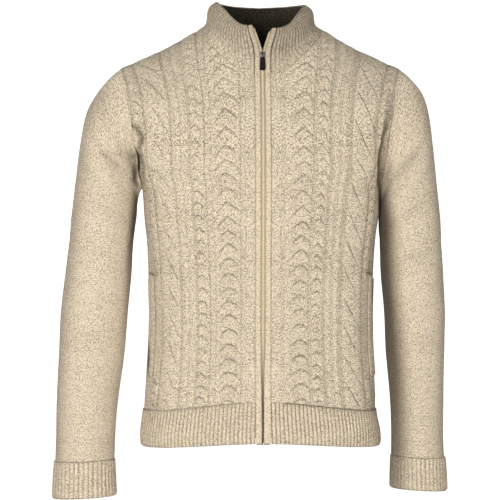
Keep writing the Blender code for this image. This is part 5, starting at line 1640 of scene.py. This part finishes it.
def slider_and_pull():
    face = float(front_edge_point("left", 0.6, SLIDER_Z - 4.0)[1]) - SLIDER_SEAT - SLIDER_THICK
    shield = [(-2.4, -48.6), (2.4, -48.6), (3.6, -46.0), (4.3, -41.5), (4.3, -38.6), (2.6, -37.4),
              (-2.6, -37.4), (-4.3, -38.6), (-4.3, -41.5), (-3.6, -46.0)]
    lug = rounded(0.6, -43.0, -39.0, 0.5)
    parts = [(shield[::-1], face, face + SLIDER_THICK)]
    for sign in (-1.0, 1.0):
        parts.append(([(x + sign * LUG_APART, z) for x, z in lug], face - LUG_RISE, face + 0.4))
    moulded("zip_slider_metal", METAL, parts, "cardigan", ["zip_slider"], 0.28)
    middle = face - PULL_CLEAR - PULL_THICK / 2
    link = [(rounded(1.6, -46.6, -40.0, 0.9), middle - 0.75, middle + 0.75)]
    moulded("zip_pull_link", METAL, link, "pull", [], 0.3)
    tab = [(w, SLIDER_Z - d) for w, d in PULL_TAB] + [(-w, SLIDER_Z - d) for w, d in PULL_TAB[::-1]]
    plate = [(tab, middle - PULL_THICK / 2, middle + PULL_THICK / 2)]
    moulded("zip_pull_tab", LEATHER, plate, "pull", ["zip_pull"], 0.55)


# ---------------------------------------------------------------- studio
def area_light(name, place, size, power, colour=(1.0, 1.0, 1.0)):
    lamp = bpy.data.lights.new(name, "AREA")
    lamp.shape, lamp.size, lamp.energy, lamp.color = "DISK", size, power, colour
    made = placed(name, lamp)
    made.location = place
    made.rotation_euler = (Vector(LIT_POINT) - Vector(place)).to_track_quat("-Z", "Y").to_euler()


def studio():
    """A round white cove, wide enough for a camera on any side, and soft lights inside it."""
    profile = [(0.5, FLOOR), (COVE_RADIUS - 1.0, FLOOR)]
    for step in range(1, 13):
        a = math.radians(90.0 * step / 12)
        profile.append((COVE_RADIUS - 1.0 + math.sin(a), FLOOR + 1.0 - math.cos(a)))
    profile.append((COVE_RADIUS, COVE_TOP))
    turns = 72
    points = [(r * math.cos(2 * math.pi * t / turns), r * math.sin(2 * math.pi * t / turns), z)
              for r, z in profile for t in range(turns)]
    faces = [list(range(turns))]
    for ring in range(len(profile) - 1):
        for t in range(turns):
            here, ahead = ring * turns + t, ring * turns + (t + 1) % turns
            faces.append((here, here + turns, ahead + turns, ahead))
    mesh = bpy.data.meshes.new("studio_cove")
    mesh.from_pydata(points, [], faces)
    mesh.shade_smooth()
    material, tree, body = shader("white paper", 0.9)
    place = node(tree, "ShaderNodeTexCoord").outputs["Object"]
    patch = grain(tree, place, 40.0)
    colour = blended(tree, patch, (0.93, 0.93, 0.93, 1.0), (0.95, 0.95, 0.95, 1.0))
    tree.links.new(colour, body.inputs["Base Color"])
    body.inputs["Emission Color"].default_value = (1.0, 1.0, 1.0, 1.0)
    body.inputs["Emission Strength"].default_value = PAPER_GLOW
    mesh.materials.append(material)
    cove = placed("studio_cove", mesh)
    cove.visible_diffuse = False
    cove.visible_glossy = False
    area_light("soft_key", (-1.1, -3.6, -0.9), FRONT_LIGHT_SIZE, KEY_POWER, (1.0, 0.99, 0.97))
    area_light("soft_fill", (1.4, -3.5, -0.6), FRONT_LIGHT_SIZE, FILL_POWER)
    for name, x, y, z, power in (("side", 3.2, 0.7, 0.1, SIDE_POWER),
                                 ("back", 1.1, 2.7, 0.5, BACK_POWER)):
        for side, sign in (("left", -1.0), ("right", 1.0)):
            area_light(name + "_" + side, (sign * x, y, z), REAR_LIGHT_SIZE, power)
    world = bpy.data.worlds.new("studio")
    world.use_nodes = True
    world.node_tree.nodes["Background"].inputs["Color"].default_value = (1.0, 1.0, 1.0, 1.0)
    world.node_tree.nodes["Background"].inputs["Strength"].default_value = SKY
    bpy.context.scene.world = world


def camera():
    bpy.context.scene.view_settings.view_transform = "Standard"
    lens = bpy.data.cameras.new("camera")
    lens.sensor_width = 36.0
    lens.lens = 36.0 * CAMERA_AWAY / FRAME_WIDTH
    lens.clip_end = 50.0
    made = placed("camera", lens)
    turn = math.radians(CAMERA_TURN)
    aim = Vector((AIM_X, 0.0, AIM_Z))
    made.location = aim + Vector((-math.sin(turn), -math.cos(turn), 0.0)) * CAMERA_AWAY
    made.rotation_euler = (math.radians(90.0), 0.0, -turn)
    bpy.context.scene.camera = made


# ---------------------------------------------------------------- values worked out from the sizes
NECK = neck_rows()
LOOP_ANGLE, LOOP, LOOP_OUT = armhole_loop()
COLLAR_START = math.degrees(math.atan2(PANEL_START, -NECK[0, 2])) + 0.25
MELANGE = melange_group()
STITCHES = stitch_group()
# one yarn in three sets of tones: the plain knit's pale is a little darker than the cable knit's, and
# the placket's darker still, as painted shade; the sets also differ in contrast
OATMEAL_YARN_AND_SHADE = ((0.93, 0.795, 0.600, 1.0), (0.34, 0.255, 0.155, 1.0), (0.075, 0.045, 0.022, 1.0))
CABLE_TONES = ((1.0, 0.862, 0.650, 1.0), (0.22, 0.160, 0.095, 1.0), (0.06, 0.036, 0.018, 1.0))
PLACKET_YARN_AND_SHADE_TONES = ((0.86, 0.735, 0.550, 1.0), (0.42, 0.32, 0.20, 1.0), (0.075, 0.045, 0.022, 1.0))
KNIT = knit_finish("oatmeal knit", OATMEAL_YARN_AND_SHADE, (3.2, 2.3), 0.6, 0.0011, (0.62, 1.6, 1.0), 0.35)
CABLE_KNIT = knit_finish("oatmeal cable knit", CABLE_TONES, (3.9, 2.8), 1.0, 0.0014,
                         (1.32, 0.88, 1.0), 0.45)
PLACKET_KNIT = knit_finish("oatmeal placket knit", PLACKET_YARN_AND_SHADE_TONES, (2.7, 2.1), 0.5, 0.0008,
                           (0.9, 1.2, 1.0), 0.30)
FLEECE_FINISH = fleece_finish()
TAPE = tape_finish()
TEETH = hard_finish("beige zip teeth", (0.56, 0.465, 0.31, 1.0), (0.66, 0.55, 0.38, 1.0), 0.45, 0.0,
                    300.0, 0.0001, True)
METAL = hard_finish("grey metal", (0.055, 0.052, 0.048, 1.0), (0.11, 0.105, 0.10, 1.0), 0.36, 1.0,
                    900.0, 0.00005)
LEATHER = hard_finish("dark pull", (0.004, 0.003, 0.002, 1.0), (0.011, 0.008, 0.006, 1.0), 0.6, 0.0,
                      700.0, 0.0002)
LEATHER.node_tree.nodes["Principled BSDF"].inputs["Specular IOR Level"].default_value = 0.06


def main():
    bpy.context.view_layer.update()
    dress_back()
    for side in ("right", "left"):
        dress_front(side)
        dress_sleeve(side)
        dress_cuff(side)
        dress_placket(side)
        dress_tape(side)
        dress_welt(side)
    hem_band()
    dress_collar()
    dress_lining()
    zip_teeth()
    slider_and_pull()
    studio()
    camera()


main()
